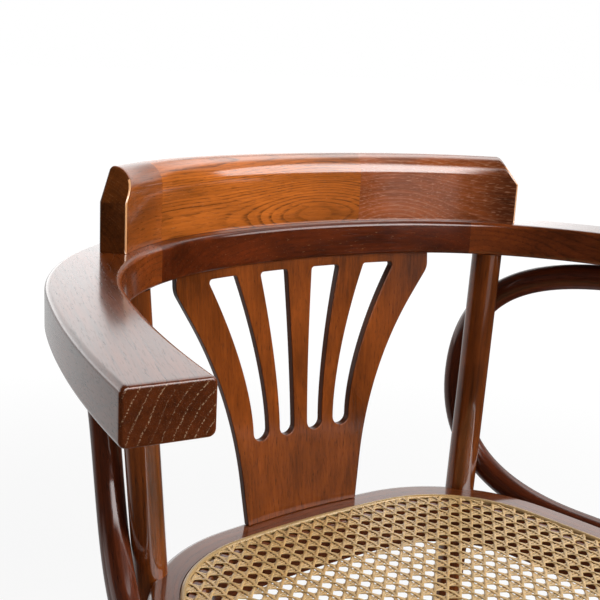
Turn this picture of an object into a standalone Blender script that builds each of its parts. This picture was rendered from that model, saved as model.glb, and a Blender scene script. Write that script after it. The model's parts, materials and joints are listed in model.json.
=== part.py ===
"""Captain's chair with a bow arm, a fan splat and a cane seat, in metres.

The chair faces -Y, stands on Z = 0 and is the same left and right, apart from the glue lines
of its crest rail. Every piece is a solid of its own. Lengths are metres and angles degrees.
"""
from math import ceil, cos, hypot, pi, radians, sin, sqrt, tan

import bmesh
import bpy
from mathutils import Matrix, Vector

# Space left between pieces that touch, and how far cutters start outside what they cut
CLEAR = 0.0003
HOLE_LEAD = 0.003
WEDGE_LEAD = 0.02

# Seat ring: plan of tangent arcs from the middle of the back edge round to the front
SEAT_HEIGHT = 0.465
SEAT_BACK_Y = 0.244
SEAT_REAR_RADIUS = 0.750
SEAT_REAR_TURN = 6.0
SEAT_CORNER_RADIUS = 0.1256
SEAT_CORNER_TURN = 72.0
SEAT_SIDE_RADIUS = 1.0
SEAT_SIDE_TURN = 11.0
SEAT_FRONT_CORNER_RADIUS = 0.115
SEAT_FRONT_TURN = 15.0
RING_WIDTH = 0.042
RING_THICK = 0.035
RING_EDGE = 0.0055
RING_LOWER_EDGE = 0.004
RING_INNER_EDGE = 0.003

# Cane panel, pressed into a groove of the ring by a spline
GROOVE_INSET = 0.022
GROOVE_DEPTH = 0.008
SPLINE_WIDTH = 0.0039
SPLINE_CROWN = 0.0013
CANE_THICK = 0.0012
CANE_SKIRT = 0.0062
CANE_PITCH = 0.0254
CANE_GAP = 0.0165
CANE_MARGIN = 0.006

# Bow arm: centreline of tangent arcs from the middle of the back to an arm's tip
ARM_GAP = 0.2085
BOW_BACK_Y = 0.2727
BOW_WIDTH = 0.043
BOW_THICK = 0.027
BOW_EDGE = 0.0035
BOW_BACK_RADIUS = 0.387
BOW_BACK_TURN = 13.3
BOW_CORNER_RADIUS = 0.221
BOW_CORNER_TURN = 57.8
BOW_ARM_RADIUS = 0.81
BOW_ARM_TURN = 11.6
BOW_SEAM = 0.166
BOW_DOWEL_DIA = 0.008
BOW_DOWEL_LENGTH = 0.030
BOW_DOWEL_SPREAD = 0.011
BOW_DOWEL_RISE = 0.019

# Crest rail on the bow, glued up from three blocks; stations run along the bow's centreline
CREST_HEIGHT = 0.054
CREST_THICK = 0.0185
CREST_LEDGE = 0.0095
CREST_HALF_LENGTH = 0.2065
CREST_LEFT_SEAM = 0.150
CREST_RIGHT_SEAM = 0.060
CREST_FRONT_ROUND = 0.011
CREST_BACK_ROUND = 0.0025
CREST_CHAMFER_RISE = 0.0325
CREST_CHAMFER_INSET = 0.017
CREST_DOWEL_DIA = 0.008
CREST_DOWEL_UP = 0.018
CREST_DOWEL_DOWN = 0.010
CREST_DOWEL_SHARES = (-0.93, -0.51, 0.07, 0.51, 0.93)

# Fan splat: a thin board, bowed in plan and leaning back
SPLAT_THICK = 0.0065
SPLAT_PLAN_RADIUS = 0.440
SPLAT_BOW_SETBACK = 0.0048
SPLAT_SEAT_SETBACK = 0.0018
SPLAT_FOOT_HALF = 0.0545
SPLAT_FOOT_ANGLE = 6.8
SPLAT_FOOT_RUN = 0.036
SPLAT_FLARE_ANGLE = 32.4
SPLAT_SHOULDER_RUN = 0.0243
SPLAT_SHOULDER_RADIUS = 0.016
SPLAT_SHOULDER_TOP = 0.009
SPLAT_TOP_BAND = 0.0078
SPLAT_TONGUE = 0.009
SPLAT_TENON = 0.012
SPLAT_TENON_STEP = 0.006
SLOT_FOOT_RISE = 0.0668
SLOT_TOP_EDGES = (0.0121, 0.0390, 0.0625, 0.0910)
SLOT_FOOT_EDGES = (0.0066, 0.0210, 0.0323, 0.0476)
SLOT_FLARE = 1.62
SLOT_TOP_ROUND = 0.0025

# Rear posts: one bent rod from the floor, past the ring, into the bow
POST_DIA = 0.025
POST_FOOT_DIA = 0.022
POST_BOW_STATION = 0.1854
POST_BOW_INSET = 0.008
POST_TENON_DIA = 0.018
POST_TENON = 0.014
POST_SEAT_STATION = 0.162
POST_HOUSING = 0.0087
POST_FOOT_X = 0.176
POST_FOOT_Y = 0.274
POST_SCREW_REACH = 0.012

# Front legs, turned, with a tenon into the ring
LEG_STATION = 0.511
LEG_TOP_DIA = 0.034
LEG_FOOT_DIA = 0.022
LEG_NECK_DIA = 0.028
LEG_NECK_DROP = 0.016
LEG_SHOULDER_ROUND = 0.0007
LEG_TENON_DIA = 0.020
LEG_TENON = 0.022
LEG_SPLAY = 0.028

# Hoop that ties the legs together
HOOP_HEIGHT = 0.200
HOOP_DIA = 0.018
HOOP_SCREW_REACH = 0.010

# Side braces: a rod bent into an open C between the arm and the ring
BRACE_DIA = 0.0214
BRACE_ARM_STATION = 0.3325
BRACE_ARM_INSET = 0.006
BRACE_ARM_TAIL = 0.040
BRACE_ARM_PULL = 0.121
BRACE_REAR_X = 0.1749
BRACE_REAR_Y = 0.2424
BRACE_REAR_RISE = 0.0081
BRACE_REAR_LEAN = 0.0945
BRACE_UPPER_PULL = 0.0657
BRACE_LOWER_PULL = 0.0794
BRACE_SEAT_STATION = 0.268
BRACE_SEAT_DROP = 0.0115
BRACE_SEAT_PULL = 0.0814
BRACE_SEAT_TAIL = 0.040
BRACE_SCREW_REACH = 0.014
ROD_END_SOFT = 0.36

# Fasteners and feet
SCREW_DIA = 0.0042
SCREW_HEAD_DIA = 0.009
SCREW_HEAD_HEIGHT = 0.0028
POST_SCREW_SINK = 0.006
GLIDE_DIA = 0.020
GLIDE_FLAT_DIA = 0.014
GLIDE_HEIGHT = 0.006
GLIDE_PIN_DIA = 0.004
GLIDE_PIN = 0.012

# How finely round shapes are cut into flats
BEND_STEP = 0.022
SPLAT_STEP = 0.0165
POST_SWEEP_STEP = 0.045
POST_STEP = 0.11
LEG_STEP = 0.14
SEAT_FLAT_TURN = 9.0
BRACE_SPAN_FLATS = 11
SPLAT_EDGE_FLATS = (1, 8, 1, 4, 1)
SLOT_FOOT_FLATS = 5
ROD_SIDES = 12
LEG_SIDES = 16
HOOP_FLATS = 44
HOOP_SIDES = 8
SCREW_SIDES = 8
GLIDE_SIDES = 14

# Heights and places that follow from the sizes above
BOW_UNDER = SEAT_HEIGHT + ARM_GAP
BOW_TOP = BOW_UNDER + BOW_THICK
RING_UNDER = SEAT_HEIGHT - RING_THICK
LEG_END = GLIDE_HEIGHT + CLEAR
GROOVE_WIDTH = SPLINE_WIDTH + CANE_THICK + 3 * CLEAR
CREST_DOWEL_STATIONS = [share * CREST_HALF_LENGTH for share in CREST_DOWEL_SHARES]


class Path:
    """A flat curve of tangent runs, walked by distance. A turn to the right is positive."""

    def __init__(self, start, heading, runs):
        self.start = start
        self.heading = radians(heading)
        self.runs = runs
        self.length = sum(length for length, bend in runs)

    def at(self, distance):
        """Return x, y and heading at a distance from the start."""
        x, y = self.start
        heading = self.heading
        left = distance
        for index, (length, bend) in enumerate(self.runs):
            last = index == len(self.runs) - 1
            step = left if last else min(left, length)
            turned_to = heading + bend * step
            if bend:
                x += (sin(turned_to) - sin(heading)) / bend
                y += (cos(turned_to) - cos(heading)) / bend
            else:
                x += step * cos(heading)
                y -= step * sin(heading)
            heading = turned_to
            left -= step
            if left <= 0:
                break
        return x, y, heading


def arc(radius, turn):
    return radius * abs(radians(turn)), (1 if turn > 0 else -1) / radius


def line(length):
    return length, 0.0


def marks(first, last, step):
    """Even distances from first to last, no further apart than step."""
    count = max(1, ceil(abs(last - first) / step - 1e-6))
    return [first + (last - first) * i / count for i in range(count + 1)]


def seat_path():
    """Half of the seat's plan. The front arc closes it on the middle line."""
    corner_turn = 180 - SEAT_REAR_TURN - SEAT_CORNER_TURN - SEAT_SIDE_TURN - SEAT_FRONT_TURN
    runs = [
        arc(SEAT_REAR_RADIUS, SEAT_REAR_TURN),
        arc(SEAT_CORNER_RADIUS, SEAT_CORNER_TURN),
        arc(SEAT_SIDE_RADIUS, SEAT_SIDE_TURN),
        arc(SEAT_FRONT_CORNER_RADIUS, corner_turn),
    ]
    start = (0.0, SEAT_BACK_Y)
    bent = Path(start, 0.0, runs)
    front_radius = bent.at(bent.length)[0] / sin(radians(SEAT_FRONT_TURN))
    return Path(start, 0.0, runs + [arc(front_radius, SEAT_FRONT_TURN)])


SEAT = seat_path()
BOW = Path((0.0, BOW_BACK_Y), 0.0, [
    arc(BOW_BACK_RADIUS, BOW_BACK_TURN),
    arc(BOW_CORNER_RADIUS, BOW_CORNER_TURN),
    arc(BOW_ARM_RADIUS, BOW_ARM_TURN),
])


def beside(path, station, offset=0.0, side=1):
    """Plan point, outward direction and forward direction at a station of the seat or bow.

    A negative station, or side -1, gives the left half.
    """
    if station < 0:
        side = -side
    x, y, heading = path.at(abs(station))
    outward = Vector((side * sin(heading), cos(heading), 0.0))
    forward = Vector((side * cos(heading), -sin(heading), 0.0))
    return Vector((side * x, y, 0.0)) + outward * offset, outward, forward


def raised(point, height):
    return Vector((point.x, point.y, height))


def rounded(corners, steps=2):
    """Outline through corners (x, y, radius), each radius rounded off in steps."""
    outline = []
    for index, (x, y, radius) in enumerate(corners):
        here = Vector((x, y))
        if not radius:
            outline.append((x, y))
            continue
        before = (Vector(corners[index - 1][:2]) - here).normalized()
        after = (Vector(corners[(index + 1) % len(corners)][:2]) - here).normalized()
        half = before.angle(after) / 2
        centre = here + (before + after).normalized() * radius / sin(half)
        first = here + before * radius / tan(half) - centre
        last = here + after * radius / tan(half) - centre
        for i in range(steps + 1):
            arm = first.slerp(last, i / steps) * radius
            outline.append(tuple(centre + arm))
    return outline


def skin(rings, closed=False):
    """A solid whose wall runs through the rings; one that isn't closed gets flat ends."""
    count = len(rings[0])
    verts = [point for ring in rings for point in ring]
    faces = []
    for i in range(len(rings) if closed else len(rings) - 1):
        a = i * count
        b = (i + 1) % len(rings) * count
        for j in range(count):
            k = (j + 1) % count
            faces.append((a + j, a + k, b + k, b + j))
    if not closed:
        faces.append(tuple(range(count)))
        faces.append(tuple(range(len(verts) - count, len(verts))))
    return verts, faces


def circle(radius, sides):
    return [(radius * cos(2 * pi * i / sides), radius * sin(2 * pi * i / sides)) for i in range(sides)]


def turned(profile, sides, place):
    """A turned solid through (radius, height) points, set by a matrix."""
    return skin([[place @ Vector((x, y, height)) for x, y in circle(radius, sides)]
                 for radius, height in profile])


def aimed(point, direction):
    """A matrix with its Z axis along a direction."""
    turn = Vector((0, 0, 1)).rotation_difference(direction)
    return Matrix.Translation(point) @ turn.to_matrix().to_4x4()


def level_rod(axis, stations, sides):
    """A rod cut into level rings: axis(height) is its centre, stations are (height, diameter)."""
    rings = []
    for height, diameter in stations:
        centre = axis(height)
        rings.append([(centre.x + x, centre.y + y, height) for x, y in circle(diameter / 2, sides)])
    return skin(rings)


def tube(points, radius, sides):
    """A bent rod with softened ends along a row of points."""
    soft = ROD_END_SOFT * radius
    heads = [(soft, 1.0), (soft / 3, 1 - ROD_END_SOFT / 3), (0.0, 1 - ROD_END_SOFT)]
    first, last = points[0], points[-1]
    start_way = (points[1] - first).normalized()
    end_way = (points[-2] - last).normalized()
    path = [(first + start_way * back, share) for back, share in reversed(heads)]
    path += [(point, 1.0) for point in points[1:-1]]
    path += [(last + end_way * back, share) for back, share in heads]
    side = start_way.orthogonal().normalized()
    rings = []
    for index, (point, share) in enumerate(path):
        ahead = path[min(index + 1, len(path) - 1)][0]
        behind = path[max(index - 1, 0)][0]
        way = (ahead - behind).normalized()
        side = (side - way * side.dot(way)).normalized()
        other = way.cross(side)
        rings.append([point + side * x * share + other * y * share for x, y in circle(radius, sides)])
    return skin(rings)


def filled(loops):
    """A flat mesh that fills the first loop and leaves the others open."""
    bm = bmesh.new()
    for loop in loops:
        verts = [bm.verts.new((x, y, 0.0)) for x, y in loop]
        for a, b in zip(verts, verts[1:] + verts[:1]):
            bm.edges.new((a, b))
    bmesh.ops.triangle_fill(bm, use_beauty=True, use_dissolve=False, edges=bm.edges[:])
    bm.verts.index_update()
    return bm


def slab(bm, front, back, skip_rim=0):
    """Thicken a flat mesh between two placings. The walls of the first skip_rim points stay open."""
    flat = [(vert.co.x, vert.co.y) for vert in bm.verts]
    count = len(flat)
    verts = [front(x, y) for x, y in flat] + [back(x, y) for x, y in flat]
    faces = []
    for face in bm.faces:
        ring = [vert.index for vert in face.verts]
        faces.append(tuple(ring))
        faces.append(tuple(count + i for i in reversed(ring)))
    for edge in bm.edges:
        a, b = (vert.index for vert in edge.verts)
        if edge.is_boundary and not (a < skip_rim and b < skip_rim):
            faces.append((a, b, count + b, count + a))
    bm.free()
    return verts, faces


def mesh_of(name, solids):
    """One mesh of separate closed bodies, with their faces pointing out."""
    bm = bmesh.new()
    for verts, faces in solids:
        made = [bm.verts.new(vert) for vert in verts]
        for face in faces:
            bm.faces.new([made[i] for i in face])
    bmesh.ops.recalc_face_normals(bm, faces=bm.faces[:])
    mesh = bpy.data.meshes.new(name)
    bm.to_mesh(mesh)
    bm.free()
    return mesh


def finish(name, colour, roughness, metallic=0.0):
    material = bpy.data.materials.new(name)
    material.use_nodes = True
    shader = material.node_tree.nodes["Principled BSDF"]
    shader.inputs["Base Color"].default_value = (*colour, 1.0)
    shader.inputs["Roughness"].default_value = roughness
    shader.inputs["Metallic"].default_value = metallic
    material.diffuse_color = (*colour, 1.0)
    return material


def piece(name, solids, material, crease=30.0):
    """One named part of the chair, smooth where it is round."""
    mesh = mesh_of(name, solids)
    mesh.shade_smooth()
    mesh.set_sharp_from_angle(angle=radians(crease))
    mesh.materials.append(material)
    part = bpy.data.objects.new(name, mesh)
    bpy.context.scene.collection.objects.link(part)
    part.parent = bpy.data.objects["chair"]
    return part


def numbered(base, solids, material):
    """Like pieces, each a part of its own with a number."""
    for number, solid in enumerate(solids, start=1):
        piece(f"{base}_{number}", [solid], material)


def cut(part, solids):
    """Take solids out of a part."""
    name = part.name + "_cuts"
    cutter = bpy.data.objects.new(name, mesh_of(name, solids))
    bpy.context.scene.collection.objects.link(cutter)
    cutter.parent = bpy.data.objects["chair"]
    cutter.hide_render = True
    cutter.display_type = "WIRE"
    modifier = part.modifiers.new("cuts", "BOOLEAN")
    modifier.operation = "DIFFERENCE"
    modifier.object = cutter


def side_name(base, side):
    return base + ("_right" if side > 0 else "_left")


def peg(point, direction, diameter, back, ahead, margin=0.0, sides=SCREW_SIDES):
    """A plain round peg along a direction, from back behind the point to ahead of it."""
    radius = diameter / 2 + margin
    return turned([(radius, -back - margin), (radius, ahead + margin)], sides, aimed(point, direction))


def screw(point, direction, reach):
    """A dome-headed screw seated at a point, its shank running along a direction."""
    head = SCREW_HEAD_DIA / 2
    shank = SCREW_DIA / 2
    return turned([
        (0.45 * head, -SCREW_HEAD_HEIGHT),
        (0.85 * head, -0.6 * SCREW_HEAD_HEIGHT),
        (head, 0.0),
        (shank, 0.0),
        (shank, reach - SCREW_DIA),
        (0.3 * shank, reach),
    ], SCREW_SIDES, aimed(point, direction))


def screw_hole(point, direction, reach):
    return peg(point, direction, SCREW_DIA, HOLE_LEAD, reach, CLEAR)


def seat_ring_at(inset, height):
    """The closed plan of the seat, drawn in by an inset, at a height."""
    half = [beside(SEAT, station, -inset)[0] for station in seat_stations()]
    whole = half + [Vector((-point.x, point.y, 0.0)) for point in half[-2:0:-1]]
    return [raised(point, height) for point in whole]


def seat_stations():
    """Distances along half of the seat's plan, closer together where it turns."""
    stations = [0.0]
    for length, bend in SEAT.runs:
        flats = max(2, ceil(length * abs(bend) / radians(SEAT_FLAT_TURN) - 1e-6))
        start = stations[-1]
        stations += [start + length * (i + 1) / flats for i in range(flats)]
    return stations


def ring_profile():
    """Section of the seat ring: inset from the edge, height from the seat's top."""
    land = -CANE_THICK - CLEAR
    groove_end = GROOVE_INSET + GROOVE_WIDTH
    return rounded([
        (0.0, -RING_THICK, RING_LOWER_EDGE),
        (0.0, 0.0, RING_EDGE),
        (GROOVE_INSET, 0.0, 0.0),
        (GROOVE_INSET, -GROOVE_DEPTH, 0.0),
        (groove_end, -GROOVE_DEPTH, 0.0),
        (groove_end, land, 0.0),
        (RING_WIDTH, land, RING_INNER_EDGE),
        (RING_WIDTH, -RING_THICK, 0.0),
    ])


def swept_round_seat(profile):
    """A closed band that follows the seat's plan with a section of (inset, height) points."""
    rows = [seat_ring_at(inset, SEAT_HEIGHT + height) for inset, height in profile]
    return skin([list(ring) for ring in zip(*rows)], closed=True)


def bow_section(inset=0.0):
    """Section of the bow: outward from its centreline, up from its underside."""
    half = BOW_WIDTH / 2 - inset
    edge = max(BOW_EDGE - inset, 0.0006)
    low, high = inset, BOW_THICK - inset
    return rounded([(-half, low, edge), (half, low, edge), (half, high, edge), (-half, high, edge)])


def along_bow(stations, section_at, base):
    """A bar along the bow's centreline; section_at(station) gives (outward, up) points."""
    rings = []
    for station in stations:
        centre, outward, forward = beside(BOW, station)
        rings.append([raised(centre + outward * u, base + v) for u, v in section_at(station)])
    return skin(rings)


def bow_dowels(side, margin=0.0):
    """The two dowels across the seam between the back of the bow and one arm."""
    dowels = []
    for spread in (-BOW_DOWEL_SPREAD, BOW_DOWEL_SPREAD):
        point, outward, forward = beside(BOW, BOW_SEAM, spread, side)
        half = BOW_DOWEL_LENGTH / 2
        dowels.append(peg(raised(point, BOW_UNDER + BOW_DOWEL_RISE), forward,
                          BOW_DOWEL_DIA, half, half, margin))
    return dowels


def crest_front():
    return CREST_LEDGE - BOW_WIDTH / 2


def crest_dowel(station, margin=0.0):
    point, outward, forward = beside(BOW, station)
    centre = point + outward * (crest_front() + CREST_THICK / 2)
    return peg(raised(centre, BOW_TOP), Vector((0, 0, 1)), CREST_DOWEL_DIA,
               CREST_DOWEL_DOWN, CREST_DOWEL_UP, margin)


def crest_section(station):
    """Section of the crest: the top edge is well rounded in front and crisp behind."""
    front = crest_front()
    back = front + CREST_THICK
    return rounded([
        (front, CLEAR, 0.0),
        (back, CLEAR, 0.0),
        (back, CREST_HEIGHT, CREST_BACK_ROUND),
        (front, CREST_HEIGHT, CREST_FRONT_ROUND),
    ], steps=3)


def chamfer_wedge(side):
    """The corner that is sawn off the top of one end of the crest."""
    point, outward, forward = beside(BOW, CREST_HALF_LENGTH, 0.0, side)
    reach = 2 * CREST_THICK
    slope = CREST_CHAMFER_INSET / (CREST_HEIGHT - CREST_CHAMFER_RISE)
    triangle = [
        (WEDGE_LEAD * slope, CREST_CHAMFER_RISE - WEDGE_LEAD),
        (-CREST_CHAMFER_INSET - WEDGE_LEAD * slope, CREST_HEIGHT + WEDGE_LEAD),
        (WEDGE_LEAD, CREST_HEIGHT + WEDGE_LEAD),
    ]
    return skin([[raised(point + outward * depth + forward * u, BOW_TOP + v) for u, v in triangle]
                 for depth in (-reach, reach)])


def splat_outline():
    """Half of the splat's edge in elevation, as a path whose first axis is the height."""
    foot, flare = radians(SPLAT_FOOT_ANGLE), radians(SPLAT_FLARE_ANGLE)
    shoulder_rise = SPLAT_SHOULDER_RUN * cos(flare) + SPLAT_SHOULDER_RADIUS * sin(flare) + SPLAT_SHOULDER_TOP
    flare_rise = ARM_GAP - SPLAT_FOOT_RUN * cos(foot) - shoulder_rise
    flare_radius = flare_rise / (sin(flare) - sin(foot))
    return Path((0.0, -SPLAT_FOOT_HALF), SPLAT_FOOT_ANGLE, [
        line(SPLAT_FOOT_RUN),
        arc(flare_radius, SPLAT_FLARE_ANGLE - SPLAT_FOOT_ANGLE),
        line(SPLAT_SHOULDER_RUN),
        arc(SPLAT_SHOULDER_RADIUS, -SPLAT_FLARE_ANGLE),
        line(SPLAT_SHOULDER_TOP),
    ])


def splat_edge():
    """Points (half width, height) up one edge of the splat, from the seat to the bow."""
    path = splat_outline()
    stations = [0.0]
    for (length, bend), flats in zip(path.runs, SPLAT_EDGE_FLATS):
        start = stations[-1]
        stations += [start + length * (i + 1) / flats for i in range(flats)]
    return [(-y, x) for x, y, heading in map(path.at, stations)]


def splat_slot(inner):
    """Outline of one slot right of the middle; inner picks the slot next to the centre finger."""
    first = 0 if inner else 2
    top = ARM_GAP - SPLAT_TOP_BAND
    foot_width = SLOT_FOOT_EDGES[first + 1] - SLOT_FOOT_EDGES[first]
    low = SLOT_FOOT_RISE + foot_width / 2

    def flank(index, height):
        spread = ((height - low) / (top - low)) ** SLOT_FLARE
        return SLOT_FOOT_EDGES[index] + (SLOT_TOP_EDGES[index] - SLOT_FOOT_EDGES[index]) * spread

    heights = marks(low, top, BEND_STEP)
    inside = [(flank(first, height), height) for height in heights]
    outside = [(flank(first + 1, height), height) for height in heights]
    corners = rounded([
        (*inside[-2], 0.0), (*inside[-1], SLOT_TOP_ROUND),
        (*outside[-1], SLOT_TOP_ROUND), (*outside[-2], 0.0),
    ])
    centre = (inside[0][0] + outside[0][0]) / 2
    radius = foot_width / 2
    bottom = [(centre + radius * cos(angle), low - radius * sin(angle))
              for angle in (pi * i / SLOT_FOOT_FLATS for i in range(1, SLOT_FOOT_FLATS))]
    return inside[:-2] + corners + outside[-3::-1] + bottom


def splat_front(x, height):
    """Y of the splat's front face: bowed in plan, leaning from the seat to the bow."""
    top = BOW_BACK_Y - BOW_WIDTH / 2 + SPLAT_BOW_SETBACK
    foot = SEAT_BACK_Y - SPLAT_SEAT_SETBACK - SPLAT_THICK
    bow = SPLAT_PLAN_RADIUS - sqrt(SPLAT_PLAN_RADIUS ** 2 - x * x)
    return foot + (top - foot) * height / ARM_GAP - bow


def splat_board(loops, margin=0.0):
    """Bend a flat outline in (x, height) into a board that follows the splat's faces."""
    bm = filled(loops)
    reach = max(abs(x) for x, height in loops[0])
    for x in marks(-reach, reach, SPLAT_STEP)[1:-1]:
        bmesh.ops.bisect_plane(bm, geom=bm.verts[:] + bm.edges[:] + bm.faces[:],
                               plane_co=(x, 0, 0), plane_no=(1, 0, 0))
    bm.verts.index_update()
    return slab(
        bm,
        lambda x, h: (x, splat_front(x, h) - margin, SEAT_HEIGHT + h),
        lambda x, h: (x, splat_front(x, h) + SPLAT_THICK + margin, SEAT_HEIGHT + h),
    )


def mirrored_outline(half):
    """Close a right-hand outline that runs upwards with its mirror image."""
    return half + [(-x, height) for x, height in reversed(half)]


def splat_seats():
    """The mortise in the seat ring and the groove under the bow that hold the splat."""
    tenon = SPLAT_FOOT_HALF - SPLAT_TENON_STEP + CLEAR
    tongue = splat_edge()[-1][0] + CLEAR
    groove_foot = ARM_GAP - HOLE_LEAD
    groove_end = ARM_GAP + SPLAT_TONGUE + CLEAR
    mortise = mirrored_outline([(tenon, -SPLAT_TENON - CLEAR), (tenon, HOLE_LEAD)])
    groove = mirrored_outline([(tongue, groove_foot), (tongue, groove_end)])
    return splat_board([mortise], CLEAR), splat_board([groove], CLEAR)


def post_axis(side):
    """Centre of a rear post by height: straight above the seat, swept back below it."""
    top = beside(BOW, POST_BOW_STATION, -POST_BOW_INSET, side)[0]
    seat = beside(SEAT, POST_SEAT_STATION, POST_DIA / 2 - POST_HOUSING, side)[0]
    foot = Vector((side * POST_FOOT_X, POST_FOOT_Y, 0.0))
    run = (top - seat) / ARM_GAP
    sweep = foot - (seat - run * SEAT_HEIGHT)

    def axis(height):
        bend = max(0.0, (RING_UNDER - height) / RING_UNDER)
        return seat + run * (height - SEAT_HEIGHT) + sweep * bend * bend

    return axis


def leg_axis(side):
    """Centre of a front leg by height."""
    top, outward, forward = beside(SEAT, LEG_STATION, -RING_WIDTH / 2, side)

    def axis(height):
        return top + outward * LEG_SPLAY * (RING_UNDER - height) / RING_UNDER

    return axis


def leg_diameter(height):
    """A front leg swells to its shoulder at the seat and tapers below the neck."""
    neck = RING_UNDER - LEG_NECK_DROP
    return LEG_FOOT_DIA + (LEG_NECK_DIA - LEG_FOOT_DIA) * (height - LEG_END) / (neck - LEG_END)


def post_diameter(height):
    share = min(1.0, (height - LEG_END) / (RING_UNDER - LEG_END))
    return POST_FOOT_DIA + (POST_DIA - POST_FOOT_DIA) * share


def hoop_plan():
    """Centre Y and radius of the round hoop that touches all four legs from inside."""
    front, rear = leg_axis(1)(HOOP_HEIGHT), post_axis(1)(HOOP_HEIGHT)
    front_radius, rear_radius = leg_diameter(HOOP_HEIGHT) / 2, post_diameter(HOOP_HEIGHT) / 2
    low, high = front.y, rear.y
    for halving in range(40):
        middle = (low + high) / 2
        to_front = hypot(front.x, front.y - middle) - front_radius
        to_rear = hypot(rear.x, rear.y - middle) - rear_radius
        if to_front < to_rear:
            low = middle
        else:
            high = middle
    return middle, min(to_front, to_rear) - HOOP_DIA / 2 - 2 * CLEAR


def hoop_screw_place(axis):
    """Seat, direction and reach of the screw from the hoop into the leg with this axis."""
    centre_y, radius = hoop_plan()
    centre = Vector((0.0, centre_y, HOOP_HEIGHT))
    way = (raised(axis(HOOP_HEIGHT), HOOP_HEIGHT) - centre).normalized()
    seat = centre + way * (radius * cos(pi / HOOP_FLATS) - HOOP_DIA / 2 - CLEAR)
    return seat, way, HOOP_DIA + 3 * CLEAR + HOOP_SCREW_REACH


def hoop_screw_places():
    """The four screws of the hoop: front right, front left, rear right, rear left."""
    return [hoop_screw_place(axis(side)) for axis in (leg_axis, post_axis) for side in (1, -1)]


def brace_points(side):
    """Centreline of a side brace: two Bezier spans between straight tails."""
    radius = BRACE_DIA / 2
    arm, outward, forward = beside(BOW, BRACE_ARM_STATION, -BRACE_ARM_INSET, side)
    arm = raised(arm, BOW_UNDER - radius - CLEAR)
    seat, seat_outward, seat_forward = beside(SEAT, BRACE_SEAT_STATION, radius + CLEAR, side)
    seat = raised(seat, SEAT_HEIGHT - BRACE_SEAT_DROP)
    rear = Vector((side * BRACE_REAR_X, BRACE_REAR_Y, (arm.z + seat.z) / 2 + BRACE_REAR_RISE))
    upward = Vector((side * BRACE_REAR_LEAN, 0.0, 1.0))

    def span(p0, p1, p2, p3):
        points = []
        for i in range(BRACE_SPAN_FLATS + 1):
            t = i / BRACE_SPAN_FLATS
            s = 1 - t
            points.append(p0 * s ** 3 + p1 * 3 * s * s * t + p2 * 3 * s * t * t + p3 * t ** 3)
        return points

    upper = span(arm, arm - forward * BRACE_ARM_PULL, rear + upward * BRACE_UPPER_PULL, rear)
    lower = span(rear, rear - upward * BRACE_LOWER_PULL, seat - seat_forward * BRACE_SEAT_PULL, seat)
    tails = arm + forward * BRACE_ARM_TAIL, seat + seat_forward * BRACE_SEAT_TAIL
    return [tails[0]] + upper + lower[1:] + [tails[1]]


def brace_screw_places(side):
    """Seat, direction and reach of the screws into the arm and into the ring."""
    through = BRACE_DIA + CLEAR
    arm = beside(BOW, BRACE_ARM_STATION, -BRACE_ARM_INSET, side)[0]
    arm = raised(arm, BOW_UNDER - through - CLEAR)
    seat, outward, forward = beside(SEAT, BRACE_SEAT_STATION, through + CLEAR, side)
    seat = raised(seat, SEAT_HEIGHT - BRACE_SEAT_DROP)
    reach = through + CLEAR + BRACE_SCREW_REACH
    return (arm, Vector((0, 0, 1)), reach), (seat, -outward, reach)


def post_screw_place(side):
    """A screw from a pocket inside the ring, through it and into the rear post."""
    point, outward, forward = beside(SEAT, POST_SEAT_STATION, POST_SCREW_SINK - RING_WIDTH, side)
    height = SEAT_HEIGHT - (GROOVE_DEPTH + RING_THICK) / 2
    return raised(point, height), outward, RING_WIDTH - POST_SCREW_SINK + POST_SCREW_REACH


def post_screw_pocket(side):
    point, outward, reach = post_screw_place(side)
    return peg(point, outward, SCREW_HEAD_DIA, POST_SCREW_SINK + HOLE_LEAD, 0.0, CLEAR)


def make_seat(wood, cane, binding):
    ring = piece("seat_frame", [swept_round_seat(ring_profile())], wood)
    holes = [splat_seats()[0]]
    for side in (1, -1):
        bore = LEG_TENON_DIA + 2 * CLEAR
        holes.append(level_rod(leg_axis(side), [
            (RING_UNDER - HOLE_LEAD, bore),
            (RING_UNDER + LEG_TENON + CLEAR, bore),
        ], LEG_SIDES))
        holes.append(screw_hole(*brace_screw_places(side)[1]))
    cut(ring, holes)
    for side in (1, -1):
        cut(ring, [post_screw_pocket(side)])
        cut(ring, [screw_hole(*post_screw_place(side))])
    piece("cane_panel", [cane_net()], cane)
    inner = GROOVE_INSET + CLEAR
    outer = inner + SPLINE_WIDTH
    piece("cane_spline", [swept_round_seat([
        (inner, CLEAR - GROOVE_DEPTH),
        (inner, 0.0),
        ((inner + outer) / 2, SPLINE_CROWN),
        (outer, 0.0),
        (outer, CLEAR - GROOVE_DEPTH),
    ])], binding)


def within(point, loop):
    """Whether a plan point lies within a loop."""
    crossings = 0
    for a, b in zip(loop, loop[1:] + loop[:1]):
        if (a.y > point[1]) != (b.y > point[1]):
            crossings += point[0] < a.x + (b.x - a.x) * (point[1] - a.y) / (b.y - a.y)
    return crossings % 2 == 1


def cane_gaps():
    """Eight-sided gaps on a square grid, as far as the bare edge of the panel."""
    radius = CANE_GAP / 2 / cos(pi / 8)
    limit = seat_ring_at(RING_WIDTH + CANE_MARGIN + CANE_GAP / 2, 0.0)
    front, back = min(p.y for p in limit), max(p.y for p in limit)
    reach = max(p.x for p in limit)
    columns, rows = int(reach / CANE_PITCH), int((back - front) / CANE_PITCH / 2)
    middle = (front + back) / 2
    corners = [pi / 8 + pi / 4 * i for i in range(8)]
    octagon = [(radius * cos(angle), radius * sin(angle)) for angle in corners]
    gaps = []
    for column in range(-columns, columns + 1):
        for row in range(-rows, rows + 1):
            x, y = column * CANE_PITCH, middle + row * CANE_PITCH
            if within((x, y), limit):
                gaps.append([(x + dx, y + dy) for dx, dy in octagon])
    return gaps


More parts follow.
